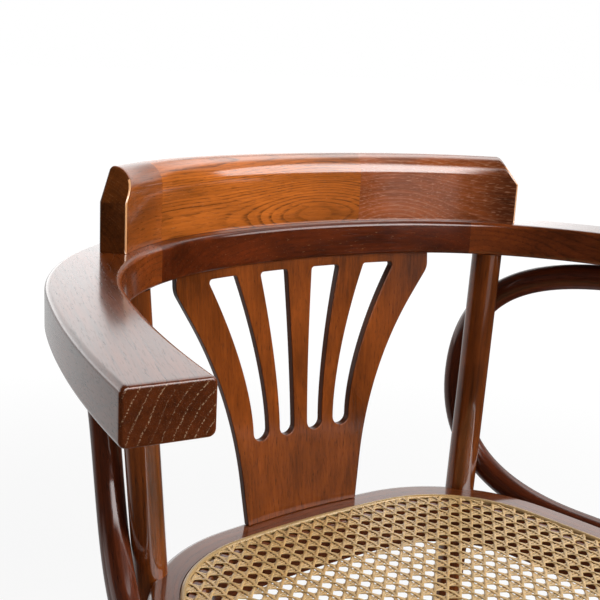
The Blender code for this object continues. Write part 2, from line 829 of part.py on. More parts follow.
def cane_net():
    """The cane panel: a flat net whose edge turns down into the groove behind the spline."""
    edge = GROOVE_INSET + SPLINE_WIDTH + 2 * CLEAR
    outer = seat_ring_at(edge, SEAT_HEIGHT)
    inner = seat_ring_at(edge + CANE_THICK, SEAT_HEIGHT)
    count = len(inner)
    flat = filled([[(point.x, point.y) for point in inner]] + cane_gaps())
    under = SEAT_HEIGHT - CANE_THICK
    verts, faces = slab(flat, lambda x, y: (x, y, SEAT_HEIGHT), lambda x, y: (x, y, under), count)
    net = len(verts) // 2
    hem = SEAT_HEIGHT - CANE_SKIRT
    base = len(verts)
    verts += [tuple(point) for point in outer]
    verts += [(point.x, point.y, hem) for point in outer]
    verts += [(point.x, point.y, hem) for point in inner]
    for i in range(count):
        j = (i + 1) % count
        top, low, tuck = base, base + count, base + 2 * count
        faces.append((i, j, top + j, top + i))
        faces.append((top + i, top + j, low + j, low + i))
        faces.append((low + i, low + j, tuck + j, tuck + i))
        faces.append((tuck + i, tuck + j, net + j, net + i))
    return verts, faces


def make_bow(wood, pegs):
    spacing = CLEAR / 2
    back_marks = marks(-BOW_SEAM + spacing, BOW_SEAM - spacing, BEND_STEP)
    back = piece("bow_back", [along_bow(back_marks, lambda station: bow_section(), BOW_UNDER)], wood)
    cut(back, [splat_seats()[1]])
    cut(back, bow_dowels(1, CLEAR) + bow_dowels(-1, CLEAR)
        + [crest_dowel(station, CLEAR) for station in CREST_DOWEL_STATIONS if abs(station) < BOW_SEAM])
    for side in (1, -1):
        tip = BOW.length
        insets = {tip: BOW_EDGE / 2, tip - 0.15 * BOW_EDGE: 0.2 * BOW_EDGE}
        stations = marks(BOW_SEAM + spacing, tip - BOW_EDGE / 2, BEND_STEP) + sorted(insets)
        bar = along_bow([side * station for station in stations],
                        lambda station: bow_section(insets.get(abs(station), 0.0)), BOW_UNDER)
        arm = piece(side_name("bow_arm", side), [bar], wood)
        tenon = POST_TENON_DIA + 2 * CLEAR
        holes = bow_dowels(side, CLEAR)
        holes.append(level_rod(post_axis(side), [
            (BOW_UNDER - HOLE_LEAD, tenon), (BOW_UNDER + POST_TENON + CLEAR, tenon)], ROD_SIDES))
        holes.append(screw_hole(*brace_screw_places(side)[0]))
        holes += [crest_dowel(station, CLEAR) for station in CREST_DOWEL_STATIONS
                  if side * station > BOW_SEAM]
        cut(arm, holes)
    numbered("bow_dowel", bow_dowels(1) + bow_dowels(-1), pegs)


def make_crest(wood, pegs):
    spacing = CLEAR / 2
    blocks = {
        "crest_block_left": (-CREST_HALF_LENGTH, -CREST_LEFT_SEAM - spacing),
        "crest_block_middle": (-CREST_LEFT_SEAM + spacing, CREST_RIGHT_SEAM - spacing),
        "crest_block_right": (CREST_RIGHT_SEAM + spacing, CREST_HALF_LENGTH),
    }
    for name, (first, last) in blocks.items():
        block = piece(name, [along_bow(marks(first, last, BEND_STEP), crest_section, BOW_TOP)], wood)
        cut(block, [crest_dowel(station, CLEAR) for station in CREST_DOWEL_STATIONS
                    if first < station < last])
        for side, end in ((-1, first), (1, last)):
            if abs(end) == CREST_HALF_LENGTH:
                cut(block, [chamfer_wedge(side)])
    numbered("crest_dowel", [crest_dowel(station) for station in CREST_DOWEL_STATIONS], pegs)


def make_splat(wood):
    edge = splat_edge()
    tenon = SPLAT_FOOT_HALF - SPLAT_TENON_STEP
    right = [(tenon, -SPLAT_TENON), (tenon, CLEAR), (SPLAT_FOOT_HALF, CLEAR)]
    right += edge[1:] + [(edge[-1][0], ARM_GAP + SPLAT_TONGUE)]
    slots = [splat_slot(inner) for inner in (True, False)]
    slots += [[(-x, height) for x, height in slot] for slot in slots]
    piece("splat", [splat_board([mirrored_outline(right)] + slots)], wood)


def make_posts(wood):
    plan = seat_ring_at(-CLEAR, 0.0)
    let_in = skin([[raised(point, height) for point in plan]
                   for height in (RING_UNDER - CLEAR, SEAT_HEIGHT + CLEAR)])
    for side in (1, -1):
        shoulder = BOW_UNDER - CLEAR
        heights = marks(LEG_END, RING_UNDER, POST_SWEEP_STEP) + marks(SEAT_HEIGHT, shoulder, POST_STEP)
        stations = [(height, post_diameter(height)) for height in heights]
        stations += [(shoulder, POST_TENON_DIA), (BOW_UNDER + POST_TENON, POST_TENON_DIA)]
        post = piece(side_name("rear_post", side), [level_rod(post_axis(side), stations, ROD_SIDES)], wood)
        cut(post, [let_in])
        cut(post, [
            screw_hole(*post_screw_place(side)),
            screw_hole(*hoop_screw_place(post_axis(side))),
            glide_hole(post_axis(side)),
        ])


def make_legs(wood):
    for side in (1, -1):
        neck = RING_UNDER - LEG_NECK_DROP
        shoulder = RING_UNDER - CLEAR
        stations = [(height, leg_diameter(height)) for height in marks(LEG_END, neck, LEG_STEP)]
        stations += [
            (neck + 0.6 * LEG_NECK_DROP, LEG_TOP_DIA - 2 * LEG_SHOULDER_ROUND),
            (shoulder - 2 * LEG_SHOULDER_ROUND, LEG_TOP_DIA),
            (shoulder, LEG_TOP_DIA - 2 * LEG_SHOULDER_ROUND),
            (shoulder, LEG_TENON_DIA),
            (RING_UNDER + LEG_TENON, LEG_TENON_DIA),
        ]
        leg = piece(side_name("front_leg", side), [level_rod(leg_axis(side), stations, LEG_SIDES)], wood)
        cut(leg, [glide_hole(leg_axis(side)), screw_hole(*hoop_screw_place(leg_axis(side)))])


def glide_hole(axis):
    foot = raised(axis(LEG_END), GLIDE_HEIGHT)
    return peg(foot, Vector((0, 0, 1)), GLIDE_PIN_DIA, HOLE_LEAD, GLIDE_PIN, CLEAR)


def make_glides(plastic):
    """A domed foot with a pin under each leg."""
    for base, axis in (("front_glide", leg_axis), ("rear_glide", post_axis)):
        for side in (1, -1):
            foot = raised(axis(side)(LEG_END), 0.0)
            piece(side_name(base, side), [turned([
                (GLIDE_FLAT_DIA / 2, 0.0),
                (0.46 * GLIDE_DIA, 0.25 * GLIDE_HEIGHT),
                (GLIDE_DIA / 2, 0.6 * GLIDE_HEIGHT),
                (GLIDE_DIA / 2, GLIDE_HEIGHT),
                (GLIDE_PIN_DIA / 2, GLIDE_HEIGHT),
                (GLIDE_PIN_DIA / 2, GLIDE_HEIGHT + GLIDE_PIN),
            ], GLIDE_SIDES, Matrix.Translation(foot))], plastic)


def make_hoop(wood):
    centre_y, radius = hoop_plan()
    rings = []
    for i in range(HOOP_FLATS):
        angle = 2 * pi * i / HOOP_FLATS
        way = Vector((sin(angle), cos(angle), 0.0))
        centre = Vector((0.0, centre_y, HOOP_HEIGHT)) + way * radius
        rings.append([centre + way * x + Vector((0, 0, y)) for x, y in circle(HOOP_DIA / 2, HOOP_SIDES)])
    hoop = piece("stretcher_hoop", [skin(rings, closed=True)], wood, crease=60.0)
    cut(hoop, [screw_hole(*place) for place in hoop_screw_places()])


def make_braces(wood):
    for side in (1, -1):
        brace = piece(side_name("side_brace", side),
                      [tube(brace_points(side), BRACE_DIA / 2, ROD_SIDES)], wood, crease=50.0)
        cut(brace, [screw_hole(*place) for place in brace_screw_places(side)])


def make_screws(steel):
    for side in (1, -1):
        arm, seat = brace_screw_places(side)
        piece(side_name("brace_arm_screw", side), [screw(*arm)], steel)
        piece(side_name("brace_seat_screw", side), [screw(*seat)], steel)
        piece(side_name("post_screw", side), [screw(*post_screw_place(side))], steel)
    numbered("hoop_screw", [screw(*place) for place in hoop_screw_places()], steel)


def centre_on_floor():
    """Stand the chair so that the middle of its box is over the origin."""
    bpy.context.view_layer.update()
    reach = [corner[1] for part in bpy.data.objects if part.type == "MESH" and not part.hide_render
             for corner in part.bound_box]
    bpy.data.objects["chair"].location.y = -(min(reach) + max(reach)) / 2


def main():
    for old in list(bpy.data.objects):
        bpy.data.objects.remove(old, do_unlink=True)
    chair = bpy.data.objects.new("chair", None)
    bpy.context.scene.collection.objects.link(chair)
    ring_wood = finish("stained_ring", (0.12, 0.045, 0.018), 0.3)
    rod_wood = finish("stained_rod", (0.085, 0.03, 0.013), 0.28)
    bow_wood = finish("stained_bow", (0.10, 0.034, 0.013), 0.3)
    crest_wood = finish("stained_crest", (0.24, 0.085, 0.024), 0.32)
    splat_wood = finish("stained_splat", (0.18, 0.062, 0.019), 0.32)
    peg_wood = finish("beech_peg", (0.55, 0.36, 0.2), 0.6)
    cane = finish("cane", (0.56, 0.4, 0.2), 0.5)
    binding = finish("cane_binding", (0.45, 0.28, 0.12), 0.5)
    make_seat(ring_wood, cane, binding)
    make_bow(bow_wood, peg_wood)
    make_crest(crest_wood, peg_wood)
    make_splat(splat_wood)
    make_posts(rod_wood)
    make_legs(rod_wood)
    make_hoop(rod_wood)
    make_braces(rod_wood)
    make_screws(finish("dark_steel", (0.25, 0.23, 0.2), 0.35, 1.0))
    make_glides(finish("glide_plastic", (0.03, 0.025, 0.022), 0.45))
    centre_on_floor()


main()
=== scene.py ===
"""Looks of a captain's chair with a cane seat, laid out as an add-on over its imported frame.

Lengths are metres. The chair faces -Y, its left is -X and it stands on Z = 0.
"""
import json
from math import ceil, cos, exp, pi, radians, sin, sqrt, tan

import bmesh
import bpy
import numpy as np
from bpy.props import FloatProperty, FloatVectorProperty, IntProperty, PointerProperty
from bpy.types import NodeSocket, Operator, Panel, PropertyGroup
from mathutils import Matrix, Vector

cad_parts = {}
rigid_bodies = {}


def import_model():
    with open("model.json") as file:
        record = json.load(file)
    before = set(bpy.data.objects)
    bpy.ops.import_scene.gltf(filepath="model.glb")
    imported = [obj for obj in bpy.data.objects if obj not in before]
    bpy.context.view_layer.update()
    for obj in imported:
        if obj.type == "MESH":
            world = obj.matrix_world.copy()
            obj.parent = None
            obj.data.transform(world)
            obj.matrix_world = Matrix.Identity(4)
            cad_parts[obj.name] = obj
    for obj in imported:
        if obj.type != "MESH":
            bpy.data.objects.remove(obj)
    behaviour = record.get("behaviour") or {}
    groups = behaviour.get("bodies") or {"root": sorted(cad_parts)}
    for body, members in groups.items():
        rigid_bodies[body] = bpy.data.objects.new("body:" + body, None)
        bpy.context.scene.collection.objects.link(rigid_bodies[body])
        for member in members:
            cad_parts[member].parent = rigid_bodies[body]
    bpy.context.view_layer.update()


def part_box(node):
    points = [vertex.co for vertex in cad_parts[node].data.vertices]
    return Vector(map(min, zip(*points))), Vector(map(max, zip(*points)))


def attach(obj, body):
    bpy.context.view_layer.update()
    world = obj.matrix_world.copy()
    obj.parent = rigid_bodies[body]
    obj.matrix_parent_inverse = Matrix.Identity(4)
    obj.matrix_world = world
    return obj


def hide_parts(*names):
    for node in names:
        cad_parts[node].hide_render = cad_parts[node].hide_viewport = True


bl_info = {
    "name": "Cane seat chair",
    "version": (1, 0, 0),
    "blender": (4, 5, 0),
    "location": "3D View > Sidebar > Chair",
    "description": "Stained wood, woven cane, fasteners and a studio for a captain's chair",
    "category": "Object",
}

for old in list(bpy.data.objects):
    bpy.data.objects.remove(old, do_unlink=True)
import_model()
BODY = "root"

# Heights and back edges that the frame gives
BOW_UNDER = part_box("bow_back")[0].z
BOW_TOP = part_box("bow_back")[1].z
BOW_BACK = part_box("bow_back")[1].y
SEAT_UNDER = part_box("seat_frame")[0].z
SEAT_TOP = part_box("seat_frame")[1].z
SEAT_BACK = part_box("seat_frame")[1].y
CREST_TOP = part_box("crest_block_middle")[1].z
LEG_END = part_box("front_leg_left")[0].z
FOOT_MIDDLE = sum(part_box("rear_glide_right"), Vector()) / 2
HOOP_MIDDLE = sum(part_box("stretcher_hoop"), Vector()) / 2
ARM_GAP = BOW_UNDER - SEAT_TOP

# Plan of the bow and of the seat: (radius, turn in degrees) of tangent arcs from the back's middle
BOW_ARCS = ((0.387, 13.3), (0.221, 57.8), (0.81, 11.6))
SEAT_ARCS = ((0.750, 6.0), (0.1256, 72.0), (1.0, 11.0), (0.115, 76.0))
SEAT_FRONT_TURN = 15.0

# Bow and crest, measured along the bow's centreline from the middle of the back
BOW_WIDTH = 0.043
BOW_SEAM = 0.166
CREST_LEFT_SEAM = -0.150
CREST_RIGHT_SEAM = 0.060
CREST_HALF = 0.2065
CREST_THICK = 0.0185
CREST_LEDGE = 0.0095
CREST_FRONT_ROUND = 0.0155
CREST_BACK_ROUND = 0.0025
CHAMFER_RISE = 0.0325
CHAMFER_INSET = 0.017
GLUE_GAP = 0.00002
CHAMFER_LEAD = 0.004
CHAMFER_STEPS = (0.2, 0.4, 0.6, 0.8)
EDGE_HIGHLIGHT_DEPTH = 0.004

# Splat
SPLAT_THICK = 0.0065
SPLAT_PLAN_RADIUS = 0.440
SPLAT_BOW_SETBACK = 0.0048
SPLAT_SEAT_SETBACK = 0.0018
SPLAT_FOOT_HALF = 0.0545
SPLAT_FOOT_ANGLE = 6.8
SPLAT_FOOT_RUN = 0.036
SPLAT_FLARE_ANGLE = 32.4
SPLAT_SHOULDER_RUN = 0.0243
SPLAT_SHOULDER_RADIUS = 0.016
SPLAT_SHOULDER_TOP = 0.009
SPLAT_TOP_BAND = 0.0078
SLOT_FOOT_RISE = 0.0668
SLOT_TOP_EDGES = (0.0121, 0.0390, 0.0625, 0.0910)
SLOT_FOOT_EDGES = (0.0066, 0.0210, 0.0323, 0.0476)
SLOT_FLARE = 1.62
SLOT_TOP_ROUND = 0.0025
SPLAT_TOP_RUN = 0.003
SPLAT_STRIP = 0.006
SPLAT_EDGE_TILT = 0.4

# Rods
POST_DIA = 0.025
POST_FOOT_DIA = 0.022
POST_BOW_STATION = 0.1854
POST_BOW_INSET = 0.008
POST_SEAT_STATION = 0.162
POST_HOUSING = 0.0087
LEG_STATION = 0.511
LEG_TOP_DIA = 0.034
LEG_NECK_DIA = 0.028
LEG_FOOT_DIA = 0.022
LEG_NECK_DROP = 0.016
LEG_SPLAY = 0.028
HOOP_DIA = 0.018
BRACE_DIA = 0.0214
BRACE_ARM_STATION = 0.3325
BRACE_ARM_INSET = 0.006
BRACE_ARM_PULL = 0.121
BRACE_REAR_X = 0.1749
BRACE_REAR_DEPTH = 0.0016
BRACE_REAR_RISE = 0.0081
BRACE_REAR_LEAN = 0.0945
BRACE_UPPER_PULL = 0.0657
BRACE_LOWER_PULL = 0.0794
BRACE_SEAT_STATION = 0.268
BRACE_SEAT_DROP = 0.0115
BRACE_SEAT_PULL = 0.0814
BRACE_TAIL = 0.040
LEG_SHOULDER_TURN = 0.62
BRACE_TIP = 0.3

# Seat ring, cane and spline: insets from the seat's edge
RING_WIDTH = 0.042
RING_EDGE = 0.0055
RING_LOWER_EDGE = 0.004
RING_INNER_EDGE = 0.003
GROOVE_INSET = 0.022
GROOVE_WIDTH = 0.006
GROOVE_DEPTH = 0.008
LAND_DROP = 0.0015
TOUCH = 0.0003
GROOVE_EDGE = 0.0004
RING_FOOT_EDGE = 0.0015
SPLINE_WIDTH = 0.0044
SPLINE_SHOULDER = 0.0008
CANE_OVERLAP = 0.004
CANE_DROP = 0.0006
CANE_PAIR = 0.54

# Screws
HEAD_RISE = 0.6
SLOT_CUTTER = (0.02, 0.0011, 0.002)
SLOT_HEIGHT = 0.0027
SHANK_RADIUS = 0.0019
HEAD_SHARE = 0.8

# Glides: share of the radius with a height for the foot, and with a share of the thickness for the wall
GLIDE_FOOT = ((0.66, 0.0), (0.72, 0.0002), (0.78, 0.0009))
GLIDE_WALL = ((0.97, 0.72), (1.0, 0.86), (0.985, 0.97), (0.95, 1.0))

# Angles in degrees past which an edge stays sharp
BAR_CREASE = 38.0
ROUND_CREASE = 60.0
SPLAT_CREASE = 50.0
SCREW_CREASE = 40.0

# Largest turn between sections of round shapes, in radians
FLARE_STEP = 0.02
SHOULDER_STEP = 0.06
SLOT_FOOT_STEP = 0.22
HOOP_STEP = 0.04
SEAT_STEP = 0.05

SIDES = ((1, "right"), (-1, "left"))

# Heart of the wood: for the bow and arms a station and the pith from there, else the pith alone
BOW_HEART = 0.05
BOW_PITH = (0.02, 0.012, -0.03)
ARM_HEART = 0.33
ARM_PITH = (0.0, 0.058, -0.012)
SPLAT_PITH = (0.015, 0.045)
RING_PITH = (0.0, 0.05, -0.06)
HOOP_PITH = (0.0, 0.02, 0.017)

# Figure of each wood, by the inputs of its shader group. Fade and Dim paint light and shade along a piece;
# Glint is the colour of painted highlights, which the fleck input spreads over long faces
BOW_FIGURE = {
    "Ring width": 0.0034, "Line depth": 0.3, "Streaks": 0.45, "Fleck": 0.25, "Varnish": 0.55, "Blotches": 2.4,
}
ARM_FIGURE = {
    "Ring width": 0.0046, "Line depth": 0.5, "Wander": 0.010, "Streaks": 0.35, "End pores": 0.65,
    "Fade": -0.28, "Fade start": -0.145, "Fade end": -0.075, "Glint": (0.52, 0.35, 0.21, 1.0),
}
# Crest: a painted highlight along the front edges of its sawn ends, and flecks of painted glint
CREST_FIGURE = {"End pores": 0.25, "Fleck": 0.2, "Rubbing": 0.75}
# Splat: Fade paints light on all but its lower part, and Dim paints the shade under the bow at its top
SPLAT_FIGURE = {
    "Ring width": 0.0034, "Wander": 0.008, "Line depth": 0.2, "Streaks": 0.42, "Blotches": 2.0,
    "Varnish": 0.22, "End pores": 0.0, "Fade": 0.3, "Fade start": 0.48, "Fade end": 0.56,
    "Dim": -0.5, "Dim start": 0.6, "Dim end": 0.69,
}
ROD_FIGURE = {"Ring width": 0.0038, "Line depth": 0.5, "Streaks": 0.6, "Blotches": 2.4}
BRACE_FIGURE = {"Ring width": 0.0038, "Line depth": 0.5, "Streaks": 0.45, "Varnish": 0.45}
RING_FIGURE = {"Ring width": 0.0036, "Line depth": 0.5, "Streaks": 0.4}

# Crest blocks: both ends along the bow, the heart's station, depth, height and swelling, the figure,
# whose Fade and Dim paint shade where the crest turns away from the light
CREST_BLOCKS = {
    "left": (CREST_LEFT_SEAM - GLUE_GAP, -CREST_HALF, -0.165, 0.030, -0.010, 0.010, {
        "Ring width": 0.0016, "Line depth": 0.35, "Fade": -0.28, "Fade start": 0.015, "Fade end": -0.008,
    }),
    "middle": (CREST_LEFT_SEAM + GLUE_GAP, CREST_RIGHT_SEAM - GLUE_GAP, 0.021, 0.029, 0.008, 0.006, {
        "Ring width": 0.00105, "Line depth": 1.0, "Wander": 0.004, "Fade": -0.36, "Fade start": -0.05,
        "Fade end": 0.039, "Dim": -0.12, "Dim start": -0.11, "Dim end": -0.15,
    }),
    "right": (CREST_RIGHT_SEAM + GLUE_GAP, CREST_HALF, 0.095, 0.022, -0.008, 0.016, {
        "Ring width": 0.0020, "Line depth": 0.4, "Line": (0.40, 0.18, 0.10, 1.0),
        "Fade": -0.42, "Fade start": 0.04, "Fade end": 0.11,
    }),
}
CREST_SPREAD = 0.06


def size_setting(name, description, default, least, most):
    return FloatProperty(name=name, description=description, unit="LENGTH",
                         default=default, min=least, max=most)


def stain_setting(name, description, colour):
    return FloatVectorProperty(name=name, description=description, subtype="COLOR",
                               default=colour, min=0, max=1)


class ChairSizes(PropertyGroup):
    """Sizes of the chair's surfaces that a user may change."""

    bow_edge: size_setting("Bow edge", "Rounding of the bow's long edges", 0.0035, 0.0005, 0.008)
    end_edge: size_setting("End edge", "Rounding where arms and crest are sawn off", 0.0018, 0.0003, 0.004)
    splat_edge: size_setting("Splat edge", "Rounding of the splat's outline and slots", 0.0008, 0.0002, 0.003)
    facet: size_setting("Facet", "Distance between sections along the bends", 0.005, 0.002, 0.02)
    rod_sides: IntProperty(name="Rod sides", description="Flats round each rod", default=28, min=8, max=64)
    cane_pitch: size_setting("Cane pitch", "Distance between the holes of the weave", 0.0127, 0.008, 0.03)
    cane_width: size_setting("Cane width", "Width of one strand", 0.0023, 0.0015, 0.004)
    cane_thick: size_setting("Cane thickness", "Thickness of one strand", 0.0007, 0.0004, 0.0015)
    screw_head: size_setting("Screw head", "Diameter of the screw heads", 0.009, 0.005, 0.012)


class ChairFinish(PropertyGroup):
    """Stain colours of the chair's woods and the colour of its cane."""

    bow: stain_setting("Bow", "Stain on the bow's back length", (0.080, 0.0130, 0.0018))
    arm: stain_setting("Arms", "Stain on the arms", (0.165, 0.0340, 0.0050))
    crest_left: stain_setting("Crest left", "Stain on the crest's left block", (0.275, 0.0680, 0.0090))
    crest_middle: stain_setting("Crest middle", "Stain on the crest's middle block", (0.45, 0.1165, 0.0143))
    crest_right: stain_setting("Crest right", "Stain on the crest's right block", (0.245, 0.0590, 0.0140))
    splat: stain_setting("Splat", "Stain on the splat", (0.158, 0.0365, 0.0048))
    rod: stain_setting("Posts and legs", "Stain on posts, legs and hoop", (0.145, 0.0340, 0.0048))
    brace: stain_setting("Braces", "Stain on the side braces", (0.085, 0.0175, 0.0055))
    ring: stain_setting("Seat ring", "Stain on the seat ring", (0.125, 0.030, 0.0060))
    cane: stain_setting("Cane", "Colour of the cane", (0.56, 0.37, 0.16))


# Plan curves

class Plan:
    """Half of a plan curve of tangent arcs, walked by distance from the middle of the back."""

    def __init__(self, back, arcs):
        self.back = back
        self.runs = [(radius * radians(turn), 1 / radius) for radius, turn in arcs]
        self.length = sum(length for length, bend in self.runs)

    def at(self, station, offset=0.0):
        """Point, outward and forward direction at a station; a negative one is on the left."""
        side = -1 if station < 0 else 1
        x, y, heading = 0.0, self.back, 0.0
        left = abs(station)
        for index, (length, bend) in enumerate(self.runs):
            step = left if index == len(self.runs) - 1 else min(left, length)
            after = heading + bend * step
            x += (sin(after) - sin(heading)) / bend
            y += (cos(after) - cos(heading)) / bend
            heading = after
            left -= step
            if left <= 0:
                break
        outward = Vector((side * sin(heading), cos(heading), 0.0))
        forward = Vector((side * cos(heading), -sin(heading), 0.0))
        return Vector((side * x, y, 0.0)) + outward * offset, outward, forward


def seat_plan():
    """The seat's plan, closed in front by an arc that ends on the middle line."""
    bent = Plan(SEAT_BACK, SEAT_ARCS)
    front = bent.at(bent.length)[0].x / sin(radians(SEAT_FRONT_TURN))
    return Plan(SEAT_BACK, SEAT_ARCS + ((front, SEAT_FRONT_TURN),))


BOW = Plan(BOW_BACK - BOW_WIDTH / 2, BOW_ARCS)
SEAT = seat_plan()


def marks(first, last, step):
    """Even distances from first to last, no further apart than step."""
    count = max(1, ceil(abs(last - first) / step - 1e-6))
    return [first + (last - first) * i / count for i in range(count + 1)]


def raised(point, height):
    return Vector((point.x, point.y, height))


def rounded(corners, steps):
    """Outline through corners (x, y, radius), each radius rounded off in steps."""
    outline = []
    for index, (x, y, radius) in enumerate(corners):
        here = Vector((x, y))
        if radius <= 0:
            outline.append((x, y))
            continue
        before = (Vector(corners[index - 1][:2]) - here).normalized()
        after = (Vector(corners[(index + 1) % len(corners)][:2]) - here).normalized()
        half = before.angle(after) / 2
        centre = here + (before + after).normalized() * radius / sin(half)
        first = here + before * radius / tan(half) - centre
        last = here + after * radius / tan(half) - centre
        outline += [tuple(centre + first.slerp(last, i / steps) * radius) for i in range(steps + 1)]
    return outline


def softened_end(length, radius, steps=4):
    """(station, inset) pairs that round off the last bit of a bar."""
    turns = [pi / 2 * i / steps for i in range(steps + 1)]
    return [(length - radius + radius * sin(turn), radius - radius * cos(turn)) for turn in turns]


# Meshes

# Mark of an edge where a highlight is painted, between plain wood at 0 and a sawn end at 1
EDGE_HIGHLIGHT_MARK = 0.5


class Shell:
    """Points and faces of one closed piece, with the wood's own coordinates at each face corner."""

    def __init__(self):
        self.points = []
        self.faces = []
        self.grain = []
        self.cut = []

    def skin(self, rings, grain, closed=False, caps=None, sawn=0, highlit_points=()):
        """A wall through rings of points. grain(ring, point) gives the wood coordinates.

        caps lists the faces of each flat end as rows of point numbers. sawn counts the last rows of
        the wall that belong to a sawn end. The last argument lists the points along the edge of that end
        where a highlight is painted.
        """
        count = len(rings[0])
        self.points = [point for ring in rings for point in ring]
        rows = len(rings) if closed else len(rings) - 1
        for i in range(rows):
            for j in range(count):
                k = (j + 1) % count
                cut = 1.0 if i >= rows - sawn else 0.0
                # Near the end, these points carry the mark of a painted highlight
                if j in highlit_points and rows - 4 < i < rows - 1:
                    cut = EDGE_HIGHLIGHT_MARK
                self.add([(i, j), (i, k), (i + 1, k), (i + 1, j)], len(rings), count, grain, cut)
        if not closed:
            last = len(rings) - 1
            for cap in caps or [range(count)]:
                self.add([(0, j) for j in reversed(cap)], len(rings), count, grain, 1.0)
                self.add([(last, j) for j in cap], len(rings), count, grain, 1.0)
        return self

    def add(self, corners, laps, count, grain, cut):
        self.faces.append([i % laps * count + j for i, j in corners])
        self.grain += [grain(i, j) for i, j in corners]
        self.cut += [cut] * len(corners)

    def turned_out(self):
        """Turn every face round if the shell is inside out."""
        volume = 0.0
        for face in self.faces:
            a = self.points[face[0]]
            for b, c in zip(face[1:], face[2:]):
                volume += a.dot(self.points[b].cross(self.points[c]))
        if volume > 0:
            return
        start = 0
        for face in self.faces:
            end = start + len(face)
            face.reverse()
            self.grain[start:end] = reversed(self.grain[start:end])
            start = end


def sawn_grain(rings, heart, pith):
    """Coordinates of straight-grained wood: along the bow's tangent at a station, inward, and up."""
    middle, outward, along = BOW.at(heart)

    def grain(i, j):
        offset = rings[i][j] - middle
        return Vector((offset.dot(along), -offset.dot(outward), rings[i][j].z - BOW_UNDER)) - Vector(pith)

    return grain


def bent_grain(stations, sections, heart, pith, swell):
    """Coordinates of wood that follows the bow; a swelling round the heart draws a lens on its face."""
    def grain(i, j):
        along = stations[i] - heart
        out, up = sections[i][j]
        depth = swell * (1 - exp(-(along / CREST_SPREAD) ** 2))
        return Vector((along, depth - out, up)) - Vector(pith)

    return grain


def mark_cuts(mesh, along):
    """How squarely each face cuts the grain that runs along a direction; sawn ends stay fully cut."""
    cut = mesh.attributes["end_cut"].data
    for face in mesh.polygons:
        share = abs(face.normal.dot(along))
        for corner in face.loop_indices:
            cut[corner].value = max(share, cut[corner].value)


def finished(name, mesh, material, stands_for):
    """Put a mesh into the scene as a piece of the chair that stands for CAD nodes."""
    piece = bpy.data.objects.new(name, mesh)
    bpy.context.scene.collection.objects.link(piece)
    mesh.materials.clear()
    mesh.materials.append(material)
    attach(piece, BODY)
    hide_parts(*stands_for)
    return piece


def shell_piece(name, shell, material, stands_for, along=None, crease=BAR_CREASE):
    """A smooth wooden piece from a shell. along marks where its faces cut straight grain."""
    shell.turned_out()
    mesh = bpy.data.meshes.new(name)
    mesh.from_pydata(shell.points, [], shell.faces)
    grain = mesh.attributes.new("grain", "FLOAT_VECTOR", "CORNER")
    grain.data.foreach_set("vector", [value for vector in shell.grain for value in vector])
    cut = mesh.attributes.new("end_cut", "FLOAT", "CORNER")
    cut.data.foreach_set("value", shell.cut)
    if along is not None:
        mark_cuts(mesh, along)
    mesh.shade_smooth()
    mesh.set_sharp_from_angle(angle=radians(crease))
    piece = finished(name, mesh, material, stands_for)
    even_normals(piece)
    return piece


def even_normals(piece):
    """Keep flat faces flat where they run into small roundings."""
    modifier = piece.modifiers.new("even_normals", "WEIGHTED_NORMAL")
    modifier.keep_sharp = True
    modifier.weight = 60


# Shader nodes

def wire(tree, node, inputs):
    """Set inputs of a node to values, or link them from sockets."""
    for key, value in inputs.items():
        if isinstance(value, NodeSocket):
            tree.links.new(value, node.inputs[key])
        else:
            node.inputs[key].default_value = value


def put(tree, kind, inputs=None, **settings):
    """Add a node with its settings and inputs."""
    node = tree.nodes.new(kind)
    for key, value in settings.items():
        setattr(node, key, value)
    wire(tree, node, inputs or {})
    return node


def calc(tree, operation, *values):
    return put(tree, "ShaderNodeMath", dict(enumerate(values)), operation=operation).outputs[0]


def times(tree, product, *factors):
    for factor in factors:
        product = calc(tree, "MULTIPLY", product, factor)
    return product


def stretched(tree, vector, scale):
    return put(tree, "ShaderNodeVectorMath", {0: vector, 1: scale}, operation="MULTIPLY").outputs[0]


def scaled(tree, colour, level):
    return put(tree, "ShaderNodeVectorMath", {0: colour, "Scale": level}, operation="SCALE").outputs[0]


def distance(tree, vector):
    return put(tree, "ShaderNodeVectorMath", {0: vector}, operation="LENGTH").outputs["Value"]


def noise(tree, vector, scale, detail=2.0, rough=0.5):
    node = put(tree, "ShaderNodeTexNoise",
               {"Vector": stretched(tree, vector, scale), "Scale": 1.0, "Detail": detail, "Roughness": rough})
    return node.outputs["Fac"]


def swing(tree, vector, scale, detail, rough=0.5):
    """Noise that swings about zero."""
    return calc(tree, "SUBTRACT", noise(tree, vector, scale, detail, rough), 0.5)


def ramp(tree, value, low, high, first=0.0, last=1.0):
    """A soft step from first to last while a value goes from low to high."""
    return put(tree, "ShaderNodeMapRange", {
        "Value": value, "From Min": low, "From Max": high, "To Min": first, "To Max": last,
    }, interpolation_type="SMOOTHSTEP").outputs["Result"]


def mixed(tree, share, first, second):
    """A colour between two others."""
    return put(tree, "ShaderNodeMix", {0: share, 6: first, 7: second}, data_type="RGBA").outputs[2]


def between(tree, share, first, second):
    """A value between two others."""
    return put(tree, "ShaderNodeMix", {0: share, 2: first, 3: second}, data_type="FLOAT").outputs[0]


def new_group(name, inputs, outputs):
    """An empty shader group; sockets are (name, type, default)."""
    group = bpy.data.node_groups.new(name, "ShaderNodeTree")
    for label, kind, default in inputs:
        socket = group.interface.new_socket(label, in_out="INPUT", socket_type=kind)
        if default is not None:
            socket.default_value = default
    for label, kind in outputs:
        group.interface.new_socket(label, in_out="OUTPUT", socket_type=kind)
    return group, group.nodes.new("NodeGroupInput").outputs, group.nodes.new("NodeGroupOutput").inputs


